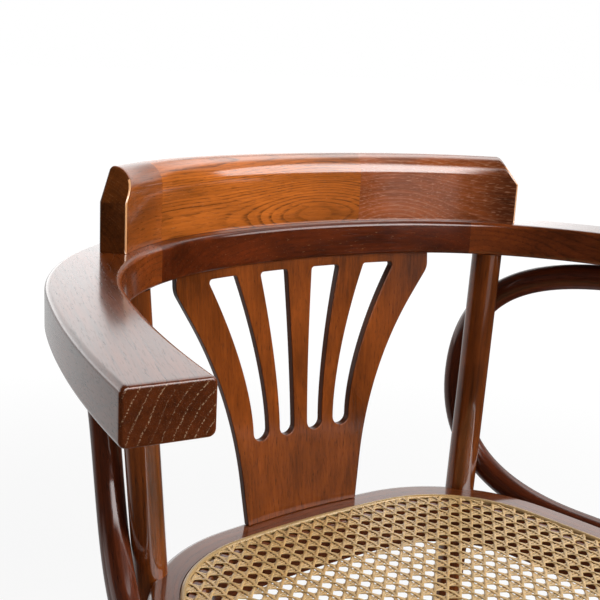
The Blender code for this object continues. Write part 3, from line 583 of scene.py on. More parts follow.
# Values that a wood's figure may set, with what they are if it doesn't
WOOD_VALUES = {
    "Ring width": 0.004, "Wander": 0.006, "Line depth": 0.6, "Streaks": 0.3,
    "Fade": 0.0, "Fade start": 0.0, "Fade end": 1.0, "Dim": 0.0, "Dim start": 0.0, "Dim end": 1.0,
    "Fleck": 0.0, "End pores": 0.5, "Varnish": 1.0, "Blotches": 1.1, "Rubbing": 0.0,
}


def stained_oak_group():
    """Ring-porous wood under a stain: growth rings, pores, streaks and end grain."""
    group, given, out = new_group("stained_oak", [
        ("Grain", "NodeSocketVector", None),
        ("End cut", "NodeSocketFloat", 0.0),
        ("Body", "NodeSocketColor", (0.2, 0.06, 0.015, 1.0)),
        ("Line", "NodeSocketColor", (0.05, 0.012, 0.003, 1.0)),
        ("End", "NodeSocketColor", (0.06, 0.016, 0.004, 1.0)),
        ("Glint", "NodeSocketColor", (0.42, 0.22, 0.10, 1.0)),
        *((label, "NodeSocketFloat", value) for label, value in WOOD_VALUES.items()),
    ], [("Color", "NodeSocketColor"), ("Roughness", "NodeSocketFloat"), ("Height", "NodeSocketFloat"),
        ("Gloss", "NodeSocketFloat")])
    grain = given["Grain"]
    # Growth rings: part goes from 0 to 1 across a ring, and tone differs from ring to ring
    wander = swing(group, grain, (7, 26, 26), 3.0)
    radius = distance(group, stretched(group, grain, (0.0, 1.0, 1.0)))
    bent = calc(group, "MULTIPLY_ADD", wander, given["Wander"], radius)
    rings = calc(group, "DIVIDE", bent, given["Ring width"])
    part = calc(group, "FRACT", rings)
    tone = put(group, "ShaderNodeTexWhiteNoise", {"W": calc(group, "FLOOR", rings)},
               noise_dimensions="1D").outputs["Value"]
    # Early wood, broken along each ring, and the pores in it
    early = times(group, ramp(group, part, 0.0, 0.08), ramp(group, part, 0.12, 0.5, 1.0, 0.0),
                  ramp(group, noise(group, grain, (60, 900, 900)), 0.36, 0.6, 0.35, 1.0))
    cells = ramp(group, noise(group, grain, (110, 1300, 1300), 1.0), 0.56, 0.67)
    pores = times(group, cells, calc(group, "MULTIPLY_ADD", early, 0.6, 0.4))
    # Lightness: streaks, rings, blotches, and painted light and shade as two changes along the length
    streak = swing(group, grain, (10, 380, 380), 4.0, 0.65)
    blotch = swing(group, grain, (14, 34, 34), 3.0)
    level = calc(group, "MULTIPLY_ADD", streak, times(group, given["Streaks"], 3.0), 1.0)
    level = calc(group, "MULTIPLY_ADD", calc(group, "SUBTRACT", tone, 0.5), 0.16, level)
    level = calc(group, "MULTIPLY_ADD", blotch, given["Blotches"], level)
    along = put(group, "ShaderNodeSeparateXYZ", {"Vector": grain}).outputs["X"]
    for change in ("Fade", "Dim"):
        step = ramp(group, along, given[f"{change} start"], given[f"{change} end"], 0.0, given[change])
        level = calc(group, "ADD", level, step)
    level = calc(group, "MAXIMUM", level, 0.15)
    # Long faces: ring lines, pores, flecks of painted glint and painted highlights on the edges of sawn ends
    strong = times(group, ramp(group, tone, 0.1, 0.7, 0.35, 1.0), given["Line depth"])
    lined = mixed(group, times(group, early, strong), given["Body"], given["Line"])
    face = mixed(group, times(group, pores, 0.85), scaled(group, lined, level), given["Line"])
    # Flecks of painted glint
    glint_flecks = ramp(group, noise(group, grain, (260, 1300, 1300), 1.0), 0.68, 0.76)
    face = mixed(group, times(group, glint_flecks, given["Fleck"]), face, given["Glint"])
    # Painted highlight on the marked edges of sawn ends, in twice the glint colour
    edge_highlight = times(group, ramp(group, given["End cut"], EDGE_HIGHLIGHT_MARK - 0.15, EDGE_HIGHLIGHT_MARK - 0.02),
                   ramp(group, given["End cut"], EDGE_HIGHLIGHT_MARK + 0.02, EDGE_HIGHLIGHT_MARK + 0.15, given["Rubbing"], 0.0))
    face = mixed(group, edge_highlight, face, scaled(group, given["Glint"], 2.0))
    # Sawn ends: rows of open pores along the rings and loose ones between them, painted as highlights in the
    # glint colour
    dots = times(group, ramp(group, part, 0.0, 0.04), ramp(group, part, 0.07, 0.2, 1.0, 0.0),
                 ramp(group, noise(group, grain, (40, 1500, 1500), 1.0), 0.46, 0.62),
                 ramp(group, tone, 0.1, 0.75, 0.3, 1.0))
    loose = ramp(group, noise(group, grain, (40, 2300, 2300), 1.0), 0.64, 0.76, 0.0, 0.3)
    dots = times(group, calc(group, "MAXIMUM", dots, loose), given["End pores"])
    sawn = mixed(group, dots, scaled(group, given["End"], level), given["Glint"])
    square = ramp(group, given["End cut"], 0.72, 0.97)
    rough = calc(group, "MULTIPLY_ADD", pores, 0.22, 0.3)
    results = {
        "Color": mixed(group, square, face, sawn),
        "Roughness": calc(group, "MULTIPLY_ADD", blotch, 0.12, rough),
        "Height": calc(group, "MULTIPLY_ADD", pores, -1.0, times(group, early, -0.25)),
        "Gloss": times(group, calc(group, "MULTIPLY_ADD", square, -0.75, 1.0), given["Varnish"]),
    }
    for label, socket in results.items():
        group.links.new(socket, out[label])
    return group


def attribute(tree, name):
    return put(tree, "ShaderNodeAttribute", attribute_name=name).outputs


def shader_of(name):
    """A fresh material with its tree and Principled shader."""
    material = bpy.data.materials.new(name)
    material.use_nodes = True
    return material, material.node_tree, material.node_tree.nodes["Principled BSDF"]


def shade(colour, share):
    """A colour made lighter or darker, as a socket value."""
    return (*(channel * share for channel in colour), 1.0)


# How dark ring lines are and how strongly pores stand out, on every wood
LINE_SHARE = 0.3
RELIEF = 0.3


def wood(name, body, values, end=0.3, polish=0.07):
    """Stained, varnished wood; end says how light its sawn ends are, polish how soft its mirror is."""
    material, tree, shader = shader_of(name)
    group = bpy.data.node_groups.get("stained_oak") or stained_oak_group()
    colours = {"Body": shade(body, 1.0), "Line": shade(body, LINE_SHARE), "End": shade(body, end)}
    figure = put(tree, "ShaderNodeGroup", node_tree=group)
    wire(tree, figure, colours | values)
    wire(tree, figure, {
        "Grain": attribute(tree, "grain")["Vector"],
        "End cut": attribute(tree, "end_cut")["Fac"],
    })
    made = figure.outputs
    bump = put(tree, "ShaderNodeBump", {"Height": made["Height"], "Strength": RELIEF, "Distance": 0.0003})
    wire(tree, shader, {
        "Base Color": made["Color"],
        "Roughness": made["Roughness"],
        "Normal": bump.outputs["Normal"],
        "Specular IOR Level": 0.1,
        "Coat Weight": made["Gloss"],
        "Coat Roughness": polish,
        "Coat IOR": 1.55,
    })
    return material


CANE_TINT = (0.62, 0.36, 0.12)


def cane_material(name, colour, gloss):
    """Split rattan: long fibres with tinted patches along the strand."""
    material, tree, shader = shader_of(name)
    grain = attribute(tree, "grain")["Vector"]
    fibre = noise(tree, grain, (30, 1800, 1800))
    patch = noise(tree, grain, (12, 3, 3))
    light = mixed(tree, ramp(tree, fibre, 0.35, 0.65), shade(colour, 0.72), shade(colour, 1.12))
    bump = put(tree, "ShaderNodeBump", {"Height": fibre, "Strength": 0.3, "Distance": 0.0002})
    wire(tree, shader, {
        "Base Color": mixed(tree, ramp(tree, patch, 0.45, 0.75), light, shade(CANE_TINT, 0.8)),
        "Roughness": ramp(tree, fibre, 0.3, 0.7, gloss + 0.12, gloss),
        "Normal": bump.outputs["Normal"],
        "Coat Weight": 0.15,
    })
    return material


def spotted_material(name, spots, spread, colours, gloss, metallic=0.0):
    """A surface whose spots change its colour over a spread of the noise, and its roughness by gloss."""
    material, tree, shader = shader_of(name)
    place = put(tree, "ShaderNodeTexCoord").outputs["Object"]
    spot = noise(tree, place, *spots)
    wire(tree, shader, {
        "Base Color": mixed(tree, ramp(tree, spot, *spread), *colours),
        "Roughness": ramp(tree, spot, *gloss),
        "Metallic": metallic,
    })
    return material


def steel_material():
    """Dark plated steel with a worn surface."""
    return spotted_material("dark_steel_look", ((900, 900, 900), 3.0), (0.4, 0.7),
                            ((0.20, 0.18, 0.15, 1.0), (0.42, 0.39, 0.34, 1.0)), (0.3, 0.7, 0.28, 0.45), 1.0)


def plastic_material():
    """Moulded glide with scuffs."""
    return spotted_material("glide_look", ((420, 420, 90), 4.0, 0.6), (0.5, 0.72),
                            ((0.026, 0.022, 0.02, 1.0), (0.09, 0.08, 0.07, 1.0)), (0.4, 0.7, 0.38, 0.62))


def peg_material():
    """Bare beech of the hidden dowels, with short flecks along the peg."""
    return spotted_material("beech_look", ((700, 700, 160), 3.0), (0.42, 0.68),
                            ((0.60, 0.40, 0.23, 1.0), (0.42, 0.25, 0.12, 1.0)), (0.3, 0.7, 0.55, 0.7))


# Bow and crest

def bow_section(edge, inset):
    """Section of the bow: outward from its centreline, up from its underside."""
    half = BOW_WIDTH / 2 - inset
    high = BOW_TOP - BOW_UNDER - inset
    radius = max(edge - inset, 0.0004)
    corners = ((-half, inset), (half, inset), (half, high), (-half, high))
    return rounded([(*corner, radius) for corner in corners], 5)


def crest_section(inset):
    """Section of the crest, with a point where the end chamfer starts on each side."""
    front = CREST_LEDGE - BOW_WIDTH / 2 + inset
    back = CREST_LEDGE - BOW_WIDTH / 2 + CREST_THICK - inset
    top = CREST_TOP - BOW_TOP - inset
    return ([(front, TOUCH / 2), (back, TOUCH / 2), (back, CHAMFER_RISE)]
            + rounded([(front, 0, 0), (back, 0, 0), (back, top, CREST_BACK_ROUND - inset),
                       (front, top, CREST_FRONT_ROUND - inset)], 8)[2:]
            + [(front, CHAMFER_RISE)])


def bow_ring(section, station, base, shift=None):
    """Points of a section set on the bow at a station; shift(up) moves points along the bow."""
    ring = []
    for out, up in section:
        centre, outward, forward = BOW.at(station + (shift(up) if shift else 0.0))
        ring.append(raised(centre + outward * out, base + up))
    return ring


def crest_end_shift(side):
    """How far the sawn-off corner of the crest draws its end back at a height."""
    slope = CHAMFER_INSET / (CREST_TOP - BOW_TOP - CHAMFER_RISE)
    return lambda up: -side * slope * max(0.0, up - CHAMFER_RISE)


class ChairBow(Operator):
    """Make the bow: its back and two arms, sawn from straight-grained lengths."""

    bl_idname = "chair.bow"
    bl_label = "Bow"

    def execute(self, context):
        sizes, finish = context.scene.chair_sizes, context.scene.chair_finish
        look = wood("bow_back_look", finish.bow, BOW_FIGURE)
        run = marks(-BOW_SEAM + GLUE_GAP, BOW_SEAM - GLUE_GAP, sizes.facet)
        stations = [(station, 0.0) for station in run]
        self.bar("bow_back_wood", "bow_back", sizes, stations, BOW_HEART, BOW_PITH, look)
        for side, name in SIDES:
            look = wood(f"arm_{name}_look", finish.arm, ARM_FIGURE, end=0.6, polish=0.13)
            run = marks(BOW_SEAM + GLUE_GAP, BOW.length - 2 * sizes.end_edge, sizes.facet)
            stations = [(station, 0.0) for station in run] + softened_end(BOW.length, sizes.end_edge)
            stations = [(side * station, inset) for station, inset in stations]
            self.bar(f"arm_{name}_wood", f"bow_arm_{name}", sizes, stations,
                     side * ARM_HEART, ARM_PITH, look, sawn=1)
        return {"FINISHED"}

    def bar(self, name, node, sizes, stations, heart, pith, look, sawn=0):
        """One length of the bow through (station, inset) pairs."""
        rings = [bow_ring(bow_section(sizes.bow_edge, inset), station, BOW_UNDER)
                 for station, inset in stations]
        shell = Shell().skin(rings, sawn_grain(rings, heart, pith), sawn=sawn)
        shell_piece(name, shell, look, [node], BOW.at(heart)[2])


class ChairCrest(Operator):
    """Make the crest rail from three glued blocks, sawn off at a slant at both ends."""

    bl_idname = "chair.crest"
    bl_label = "Crest"

    def execute(self, context):
        for name, block in CREST_BLOCKS.items():
            colour = getattr(context.scene.chair_finish, f"crest_{name}")
            self.block(context.scene.chair_sizes, name, colour, *block)
        return {"FINISHED"}

    def block(self, sizes, name, colour, first, last, heart, depth, rise, swell, figure):
        """One block; where it ends the crest, it is sawn off at a slant and softened."""
        look = wood(f"crest_{name}_look", colour, CREST_FIGURE | figure, end=0.48, polish=0.09)
        section = crest_section(0.0)
        front = section[0][0]
        turn = section.index((section[2][0], CHAMFER_RISE))
        caps = [[0, 1, turn, len(section) - 1], list(range(turn, len(section)))]
        side = 1 if last > first else -1
        sawn_off = abs(last) == CREST_HALF
        stop = last - side * (CHAMFER_INSET + CHAMFER_LEAD) if sawn_off else last
        stations = marks(first, stop, sizes.facet)
        sections = [section] * len(stations)
        rings = [bow_ring(section, station, BOW_TOP) for station in stations]
        if sawn_off:
            shift = crest_end_shift(side)
            reach = side * (CREST_HALF - sizes.end_edge) - stop
            for share in CHAMFER_STEPS:
                stations.append(stop + reach * share)
                sections.append(section)
                rings.append(bow_ring(section, stations[-1], BOW_TOP, lambda up: share * shift(up)))
            for station, inset in softened_end(CREST_HALF, sizes.end_edge):
                stations.append(side * station)
                sections.append(crest_section(inset))
                rings.append(bow_ring(sections[-1], stations[-1], BOW_TOP, shift))
        grain = bent_grain(stations, sections, heart, (0.0, -front - depth, rise), swell)
        # Points along the front edge of a sawn-off end, where a highlight is painted
        highlit_points = [j for j, (out, up) in enumerate(section) if sawn_off and abs(out - front) < EDGE_HIGHLIGHT_DEPTH]
        shell = Shell().skin(rings, grain, caps=caps, sawn=2 if sawn_off else 0, highlit_points=highlit_points)
        shell_piece(f"crest_{name}_wood", shell, look, [f"crest_block_{name}"])


# Splat

def splat_edge():
    """Points (half width, height) up one edge of the splat, from the seat to the bow."""
    foot, flare = radians(SPLAT_FOOT_ANGLE), radians(SPLAT_FLARE_ANGLE)
    shoulder_rise = SPLAT_SHOULDER_RUN * cos(flare) + SPLAT_SHOULDER_RADIUS * sin(flare) + SPLAT_SHOULDER_TOP
    flare_rise = ARM_GAP - SPLAT_FOOT_RUN * cos(foot) - shoulder_rise
    flare_radius = flare_rise / (sin(flare) - sin(foot))
    half, height = SPLAT_FOOT_HALF, 0.0
    points = [(half, height)]
    half += SPLAT_FOOT_RUN * sin(foot)
    height += SPLAT_FOOT_RUN * cos(foot)
    for angle in marks(foot, flare, FLARE_STEP):
        points.append((half + flare_radius * (cos(foot) - cos(angle)),
                       height + flare_radius * (sin(angle) - sin(foot))))
    half, height = points[-1]
    half += SPLAT_SHOULDER_RUN * sin(flare)
    height += SPLAT_SHOULDER_RUN * cos(flare)
    for angle in marks(flare, 0.0, SHOULDER_STEP):
        points.append((half + SPLAT_SHOULDER_RADIUS * (cos(angle) - cos(flare)),
                       height + SPLAT_SHOULDER_RADIUS * (sin(flare) - sin(angle))))
    return points


def splat_slot(first):
    """Outline of the slot right of the middle that starts at this pair of edges."""
    top = ARM_GAP - SPLAT_TOP_BAND
    radius = (SLOT_FOOT_EDGES[first + 1] - SLOT_FOOT_EDGES[first]) / 2
    low = SLOT_FOOT_RISE + radius

    def flank(index, height):
        spread = ((height - low) / (top - low)) ** SLOT_FLARE
        return SLOT_FOOT_EDGES[index] + (SLOT_TOP_EDGES[index] - SLOT_FOOT_EDGES[index]) * spread

    heights = marks(low, top, 0.005)
    inside = [(flank(first, height), height) for height in heights]
    outside = [(flank(first + 1, height), height) for height in heights]
    corners = rounded([(*inside[-2], 0), (*inside[-1], SLOT_TOP_ROUND),
                       (*outside[-1], SLOT_TOP_ROUND), (*outside[-2], 0)], 4)
    centre = inside[0][0] + radius
    turns = marks(0.0, pi, SLOT_FOOT_STEP)[1:-1]
    bottom = [(centre + radius * cos(turn), low - radius * sin(turn)) for turn in turns]
    return inside[:-2] + corners + outside[-3::-1] + bottom


def splat_middle(x, height):
    """Y of the board's middle: bowed in plan, leaning from the seat to the bow."""
    top = BOW_BACK - BOW_WIDTH + SPLAT_BOW_SETBACK
    foot = SEAT_BACK - SPLAT_SEAT_SETBACK - SPLAT_THICK
    bow = SPLAT_PLAN_RADIUS - sqrt(SPLAT_PLAN_RADIUS ** 2 - x * x)
    return foot + (top - foot) * height / ARM_GAP - bow + SPLAT_THICK / 2


def flat_board(loops, edge):
    """A flat board with rounded edges as a mesh: x, height and depth from its middle."""
    outline = bpy.data.curves.new("splat_outline", "CURVE")
    outline.dimensions = "2D"
    outline.fill_mode = "BOTH"
    outline.extrude = SPLAT_THICK / 2 - edge
    outline.bevel_depth = edge
    outline.bevel_resolution = 2
    outline.offset = -edge
    for loop in loops:
        spline = outline.splines.new("POLY")
        spline.points.add(len(loop) - 1)
        for point, (x, height) in zip(spline.points, loop):
            point.co = (x, height, 0.0, 1.0)
        spline.use_cyclic_u = True
    holder = bpy.data.objects.new("splat_outline", outline)
    bpy.context.scene.collection.objects.link(holder)
    mesh = plain_mesh(holder)
    bpy.data.objects.remove(holder)
    return mesh


def plain_mesh(holder):
    """The evaluated shape of an object as a mesh of its own."""
    graph = bpy.context.evaluated_depsgraph_get()
    return bpy.data.meshes.new_from_object(holder.evaluated_get(graph), depsgraph=graph)


class ChairSplat(Operator):
    """Make the fan splat: a slotted board, bowed in plan and leaning back."""

    bl_idname = "chair.splat"
    bl_label = "Splat"

    def execute(self, context):
        sizes, finish = context.scene.chair_sizes, context.scene.chair_finish
        right = [(SPLAT_FOOT_HALF, TOUCH)] + splat_edge()[1:]
        right.append((right[-1][0], ARM_GAP + SPLAT_TOP_RUN))
        slots = [splat_slot(first) for first in (0, 2)]
        slots += [[(-x, height) for x, height in slot] for slot in slots]
        whole = right + [(-x, height) for x, height in reversed(right)]
        mesh = flat_board([whole] + slots, sizes.splat_edge)
        bm = bmesh.new()
        bm.from_mesh(mesh)
        bmesh.ops.remove_doubles(bm, verts=bm.verts[:], dist=1e-6)
        reach = max(vert.co.x for vert in bm.verts)
        for x in marks(-reach, reach, SPLAT_STRIP)[1:-1]:
            bmesh.ops.bisect_plane(bm, geom=bm.verts[:] + bm.edges[:] + bm.faces[:],
                                   plane_co=(x, 0, 0), plane_no=(1, 0, 0))
        for vert in bm.verts:
            x, height, depth = vert.co
            vert.co = (x, splat_middle(x, height) - depth, SEAT_TOP + height)
        bmesh.ops.recalc_face_normals(bm, faces=bm.faces[:])
        bm.to_mesh(mesh)
        bm.free()
        grain = mesh.attributes.new("grain", "FLOAT_VECTOR", "POINT")
        for value, vert in zip(grain.data, mesh.vertices):
            value.vector = (vert.co.z, vert.co.x - SPLAT_PITH[0], vert.co.y - SEAT_BACK - SPLAT_PITH[1])
        cut = mesh.attributes.new("end_cut", "FLOAT", "CORNER").data
        for face in mesh.polygons:
            for corner in face.loop_indices:
                cut[corner].value = 1.0 if abs(face.normal.y) < SPLAT_EDGE_TILT else 0.0
        mesh.shade_smooth()
        mesh.set_sharp_from_angle(angle=radians(SPLAT_CREASE))
        look = wood("splat_look", finish.splat, SPLAT_FIGURE, end=0.4, polish=0.12)
        even_normals(finished("splat_wood", mesh, look, ["splat"]))
        return {"FINISHED"}


# Rods

def circle(radius, sides):
    return [(radius * cos(2 * pi * i / sides), radius * sin(2 * pi * i / sides)) for i in range(sides)]


def post_axis(side):
    """Centre of a rear post by height: straight above the seat, swept back below it."""
    top = BOW.at(side * POST_BOW_STATION, -POST_BOW_INSET)[0]
    seat = SEAT.at(side * POST_SEAT_STATION, POST_DIA / 2 - POST_HOUSING)[0]
    foot = Vector((side * FOOT_MIDDLE.x, FOOT_MIDDLE.y, 0.0))
    run = (top - seat) / ARM_GAP
    low = (SEAT_UNDER - LEG_END) / SEAT_UNDER
    sweep = (foot - (seat - run * (SEAT_TOP - LEG_END))) / (low * low)

    def axis(height):
        bend = max(0.0, (SEAT_UNDER - height) / SEAT_UNDER)
        return seat + run * (height - SEAT_TOP) + sweep * bend * bend

    return axis


def leg_axis(side):
    """Centre of a front leg by height."""
    top, outward, forward = SEAT.at(side * LEG_STATION, -RING_WIDTH / 2)
    return lambda height: top + outward * LEG_SPLAY * (SEAT_UNDER - height) / SEAT_UNDER


def post_width(height):
    share = min(1.0, (height - LEG_END) / (SEAT_UNDER - LEG_END))
    return POST_FOOT_DIA + (POST_DIA - POST_FOOT_DIA) * share


def leg_width(height):
    """Diameter of a front leg: a taper below its neck and a round shoulder under the seat."""
    neck = SEAT_UNDER - LEG_NECK_DROP
    if height <= neck:
        return LEG_FOOT_DIA + (LEG_NECK_DIA - LEG_FOOT_DIA) * (height - LEG_END) / (neck - LEG_END)
    share = (height - neck) / LEG_NECK_DROP
    return LEG_NECK_DIA + (LEG_TOP_DIA - LEG_NECK_DIA) * sin(share * pi * LEG_SHOULDER_TURN)


def upright(axis, width, heights, sides, pith):
    """A round upright through level rings, with its grain along its length."""
    rings = []
    for height in heights:
        centre = axis(height)
        section = circle(width(height) / 2, sides)
        rings.append([Vector((centre.x + x, centre.y + y, height)) for x, y in section])
    return Shell().skin(rings, lambda i, j: Vector((
        heights[i],
        rings[i][j].x - axis(heights[i]).x,
        rings[i][j].y - axis(heights[i]).y,
    )) - Vector(pith))


def bent_rod(points, shares, radius, sides, pith, closed=False):
    """A rod along a row of points; shares thin it towards its ends."""
    rings, walked = [], [0.0]
    count = len(points)
    side = (points[1] - points[0]).orthogonal().normalized()
    for index, point in enumerate(points):
        ahead = points[(index + 1) % count if closed else min(index + 1, count - 1)]
        behind = points[index - 1 if closed or index else 0]
        way = (ahead - behind).normalized()
        side = (side - way * side.dot(way)).normalized()
        other = way.cross(side)
        rings.append([point + (side * x + other * y) * shares[index] for x, y in circle(radius, sides)])
        walked.append(walked[-1] + (points[(index + 1) % count] - point).length)
    section = circle(radius, sides)
    return Shell().skin(rings, lambda i, j: Vector((walked[i], *section[j])) - Vector(pith), closed)


def brace_places(side):
    """Where a brace meets the arm and the ring: point, outward and forward direction of each."""
    radius = BRACE_DIA / 2
    arm, arm_out, arm_ahead = BOW.at(side * BRACE_ARM_STATION, -BRACE_ARM_INSET)
    seat, seat_out, seat_ahead = SEAT.at(side * BRACE_SEAT_STATION, radius + TOUCH)
    return ((raised(arm, BOW_UNDER - radius - TOUCH), arm_out, arm_ahead),
            (raised(seat, SEAT_TOP - BRACE_SEAT_DROP), seat_out, seat_ahead))


def brace_points(side, step):
    """Centreline of a side brace: two Bezier spans between straight tails."""
    (arm, arm_out, arm_ahead), (seat, seat_out, seat_ahead) = brace_places(side)
    rear = Vector((side * BRACE_REAR_X, SEAT_BACK - BRACE_REAR_DEPTH, (arm.z + seat.z) / 2 + BRACE_REAR_RISE))
    upward = Vector((side * BRACE_REAR_LEAN, 0.0, 1.0))

    def span(p0, p1, p2, p3):
        count = ceil((p3 - p0).length / step)
        shares = [i / count for i in range(count + 1)]
        return [p0 * (1 - t) ** 3 + p1 * 3 * (1 - t) ** 2 * t + p2 * 3 * (1 - t) * t * t + p3 * t ** 3
                for t in shares]

    upper = span(arm, arm - arm_ahead * BRACE_ARM_PULL, rear + upward * BRACE_UPPER_PULL, rear)
    lower = span(rear, rear - upward * BRACE_LOWER_PULL, seat - seat_ahead * BRACE_SEAT_PULL, seat)
    return upper + lower[1:], arm + arm_ahead * BRACE_TAIL, seat + seat_ahead * BRACE_TAIL


class ChairRods(Operator):
    """Make the posts, front legs, stretcher hoop and bent side braces."""

    bl_idname = "chair.rods"
    bl_label = "Rods"

    def execute(self, context):
        sizes, finish = context.scene.chair_sizes, context.scene.chair_finish
        rod_wood = wood("rod_look", finish.rod, ROD_FIGURE)
        brace_wood = wood("brace_look", finish.brace, BRACE_FIGURE)
        neck = SEAT_UNDER - LEG_NECK_DROP
        for side, name in SIDES:
            heights = marks(LEG_END, BOW_UNDER, 2 * sizes.facet)
            pith = (side * 0.3, 0.021 * side, 0.03)
            shell = upright(post_axis(side), post_width, heights, sizes.rod_sides, pith)
            shell_piece(f"post_{name}_wood", shell, rod_wood, [f"rear_post_{name}"])
            heights = marks(LEG_END, neck, 4 * sizes.facet) + marks(neck, SEAT_UNDER - TOUCH, 0.001)[1:]
            pith = (side * 0.7, 0.026, 0.018 * side)
            shell = upright(leg_axis(side), leg_width, heights, sizes.rod_sides, pith)
            shell_piece(f"leg_{name}_wood", shell, rod_wood, [f"front_leg_{name}"],
                        crease=ROUND_CREASE)
            self.brace(side, name, sizes, brace_wood)
        self.hoop(sizes, rod_wood)
        return {"FINISHED"}

    def brace(self, side, name, sizes, look):
        """One side brace with softened ends."""
        radius = BRACE_DIA / 2
        tip = radius * BRACE_TIP
        bend, arm_end, seat_end = brace_points(side, sizes.facet)
        tips = []
        for end, start in ((arm_end, bend[0]), (seat_end, bend[-1])):
            back = (start - end).normalized()
            tips.append([(end + back * (tip - station), 1 - inset / radius)
                         for station, inset in softened_end(tip, tip)])
        rows = tips[0][::-1] + [(point, 1.0) for point in bend] + tips[1]
        shell = bent_rod([point for point, share in rows], [share for point, share in rows], radius,
                         sizes.rod_sides, (side * 0.5, 0.02, 0.02 * side))
        shell_piece(f"brace_{name}_wood", shell, look, [f"side_brace_{name}"],
                    crease=ROUND_CREASE)

    def hoop(self, sizes, look):
        """The round hoop between the legs."""
        radius = HOOP_DIA / 2
        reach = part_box("stretcher_hoop")[1].x - radius
        turns = marks(0.0, 2 * pi, HOOP_STEP)[:-1]
        points = [HOOP_MIDDLE + Vector((reach * sin(turn), reach * cos(turn), 0.0)) for turn in turns]
        shell = bent_rod(points, [1.0] * len(points), radius, sizes.rod_sides, HOOP_PITH, closed=True)
        shell_piece("hoop_wood", shell, look, ["stretcher_hoop"], crease=ROUND_CREASE)


# Seat

def seat_stations(step):
    """Distances along half of the seat's plan, closer together where it turns."""
    stations = [0.0]
    for length, bend in SEAT.runs:
        stations += marks(stations[-1], stations[-1] + length, min(step * 4, SEAT_STEP / bend))[1:]
    return stations


def round_seat(profile, step, pith):
    """A closed band round the seat with a section of (inset, height) points."""
    half = seat_stations(step)
    stations = half + [-station for station in half[-2:0:-1]]
    walked = half + [2 * half[-1] - station for station in half[-2:0:-1]] + [2 * half[-1]]
    rings = [[raised(SEAT.at(station, -inset)[0], SEAT_TOP + up) for inset, up in profile]
             for station in stations]
    return Shell().skin(rings, lambda i, j: Vector((walked[i], *profile[j])) - Vector(pith), closed=True)


def ring_profile():
    """Section of the seat ring, with the groove for the cane."""
    thick = SEAT_TOP - SEAT_UNDER
    groove_end = GROOVE_INSET + GROOVE_WIDTH
    return rounded([
        (0.0, -thick, RING_LOWER_EDGE), (0.0, 0.0, RING_EDGE),
        (GROOVE_INSET, 0.0, GROOVE_EDGE), (GROOVE_INSET, -GROOVE_DEPTH, 0.0),
        (groove_end, -GROOVE_DEPTH, 0.0), (groove_end, -LAND_DROP, GROOVE_EDGE),
        (RING_WIDTH, -LAND_DROP, RING_INNER_EDGE), (RING_WIDTH, -thick, RING_FOOT_EDGE),
    ], 5)


def spline_profile():
    """Section of the spline: a round crown on straight flanks."""
    low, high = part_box("cane_spline")
    foot, crown = low.z - SEAT_TOP, high.z - SEAT_TOP
    inner, half = GROOVE_INSET + TOUCH, SPLINE_WIDTH / 2
    top = [(inner + half + half * cos(turn), -SPLINE_SHOULDER + (crown + SPLINE_SHOULDER) * sin(turn))
           for turn in marks(pi, 0.0, pi / 10)]
    return [(inner, foot)] + top + [(inner + SPLINE_WIDTH, foot)]


class ChairSeat(Operator):
    """Make the seat ring with its groove, and the spline that holds the cane in it."""

    bl_idname = "chair.seat"
    bl_label = "Seat ring"

    def execute(self, context):
        sizes, finish = context.scene.chair_sizes, context.scene.chair_finish
        ring_wood = wood("ring_look", finish.ring, RING_FIGURE)
        shell = round_seat(ring_profile(), sizes.facet, RING_PITH)
        shell_piece("seat_ring_wood", shell, ring_wood, ["seat_frame"])
        shell = round_seat(spline_profile(), sizes.facet, (0, 0, 0))
        binding = cane_material("binding_look", shade(finish.cane, 0.72)[:3], 0.35)
        shell_piece("spline_reed", shell, binding, ["cane_spline"], crease=ROUND_CREASE)
        return {"FINISHED"}


# Woven cane

def cane_lines(pitch, width, edge):
    """Lines of all strands across the panel's edge: a point, a direction and a layer.

    Layers: 0 lower uprights, 1 upper uprights, 2 cross strands, 3 and 4 the two diagonals.
    """
    reach = max(point.x for point in edge)
    front, back = min(point.y for point in edge), max(point.y for point in edge)
    middle = (front + back) / 2
    columns = ceil(reach / pitch) + 1
    rows = ceil((back - front) / 2 / pitch) + 1
    spread = CANE_PAIR * width
    lines = []
    for n in range(-columns, columns + 1):
        lines.append((Vector((n * pitch - spread, middle)), Vector((0, 1)), 0))
        lines.append((Vector((n * pitch + spread, middle)), Vector((0, 1)), 1))
    for n in range(-rows, rows + 1):
        for offset in (-spread, spread):
            lines.append((Vector((0, middle + n * pitch + offset)), Vector((1, 0)), 2))
    for n in range(-columns - rows, columns + rows):
        lines.append((Vector((0, middle + (n + 0.5) * pitch)), Vector((1, 1)), 3))
        lines.append((Vector((0, middle + (n + 0.5) * pitch)), Vector((1, -1)), 4))
    return lines


def crossings(start, way, edge):
    """Where a line enters and leaves the panel's edge, as multiples of its direction."""
    found = []
    for a, b in zip(edge, edge[1:] + edge[:1]):
        over_a = way.x * (a.y - start.y) - way.y * (a.x - start.x)
        over_b = way.x * (b.y - start.y) - way.y * (b.x - start.x)
        if (over_a > 0) != (over_b > 0):
            point = a + (b - a) * over_a / (over_a - over_b)
            found.append((point - start).dot(way) / way.length_squared)
    return sorted(found)


def strand_wave(layer, x, y, pitch, rise):
    """Height of a strand's middle: uprights part at the knots, diagonals weave between the pairs."""
    knot = (1 + cos(2 * pi * y / pitch)) / 2
    weave = cos(2 * pi * x / pitch)
    return (-rise * knot, rise * knot, 0.0, -rise * weave, rise * weave)[layer]


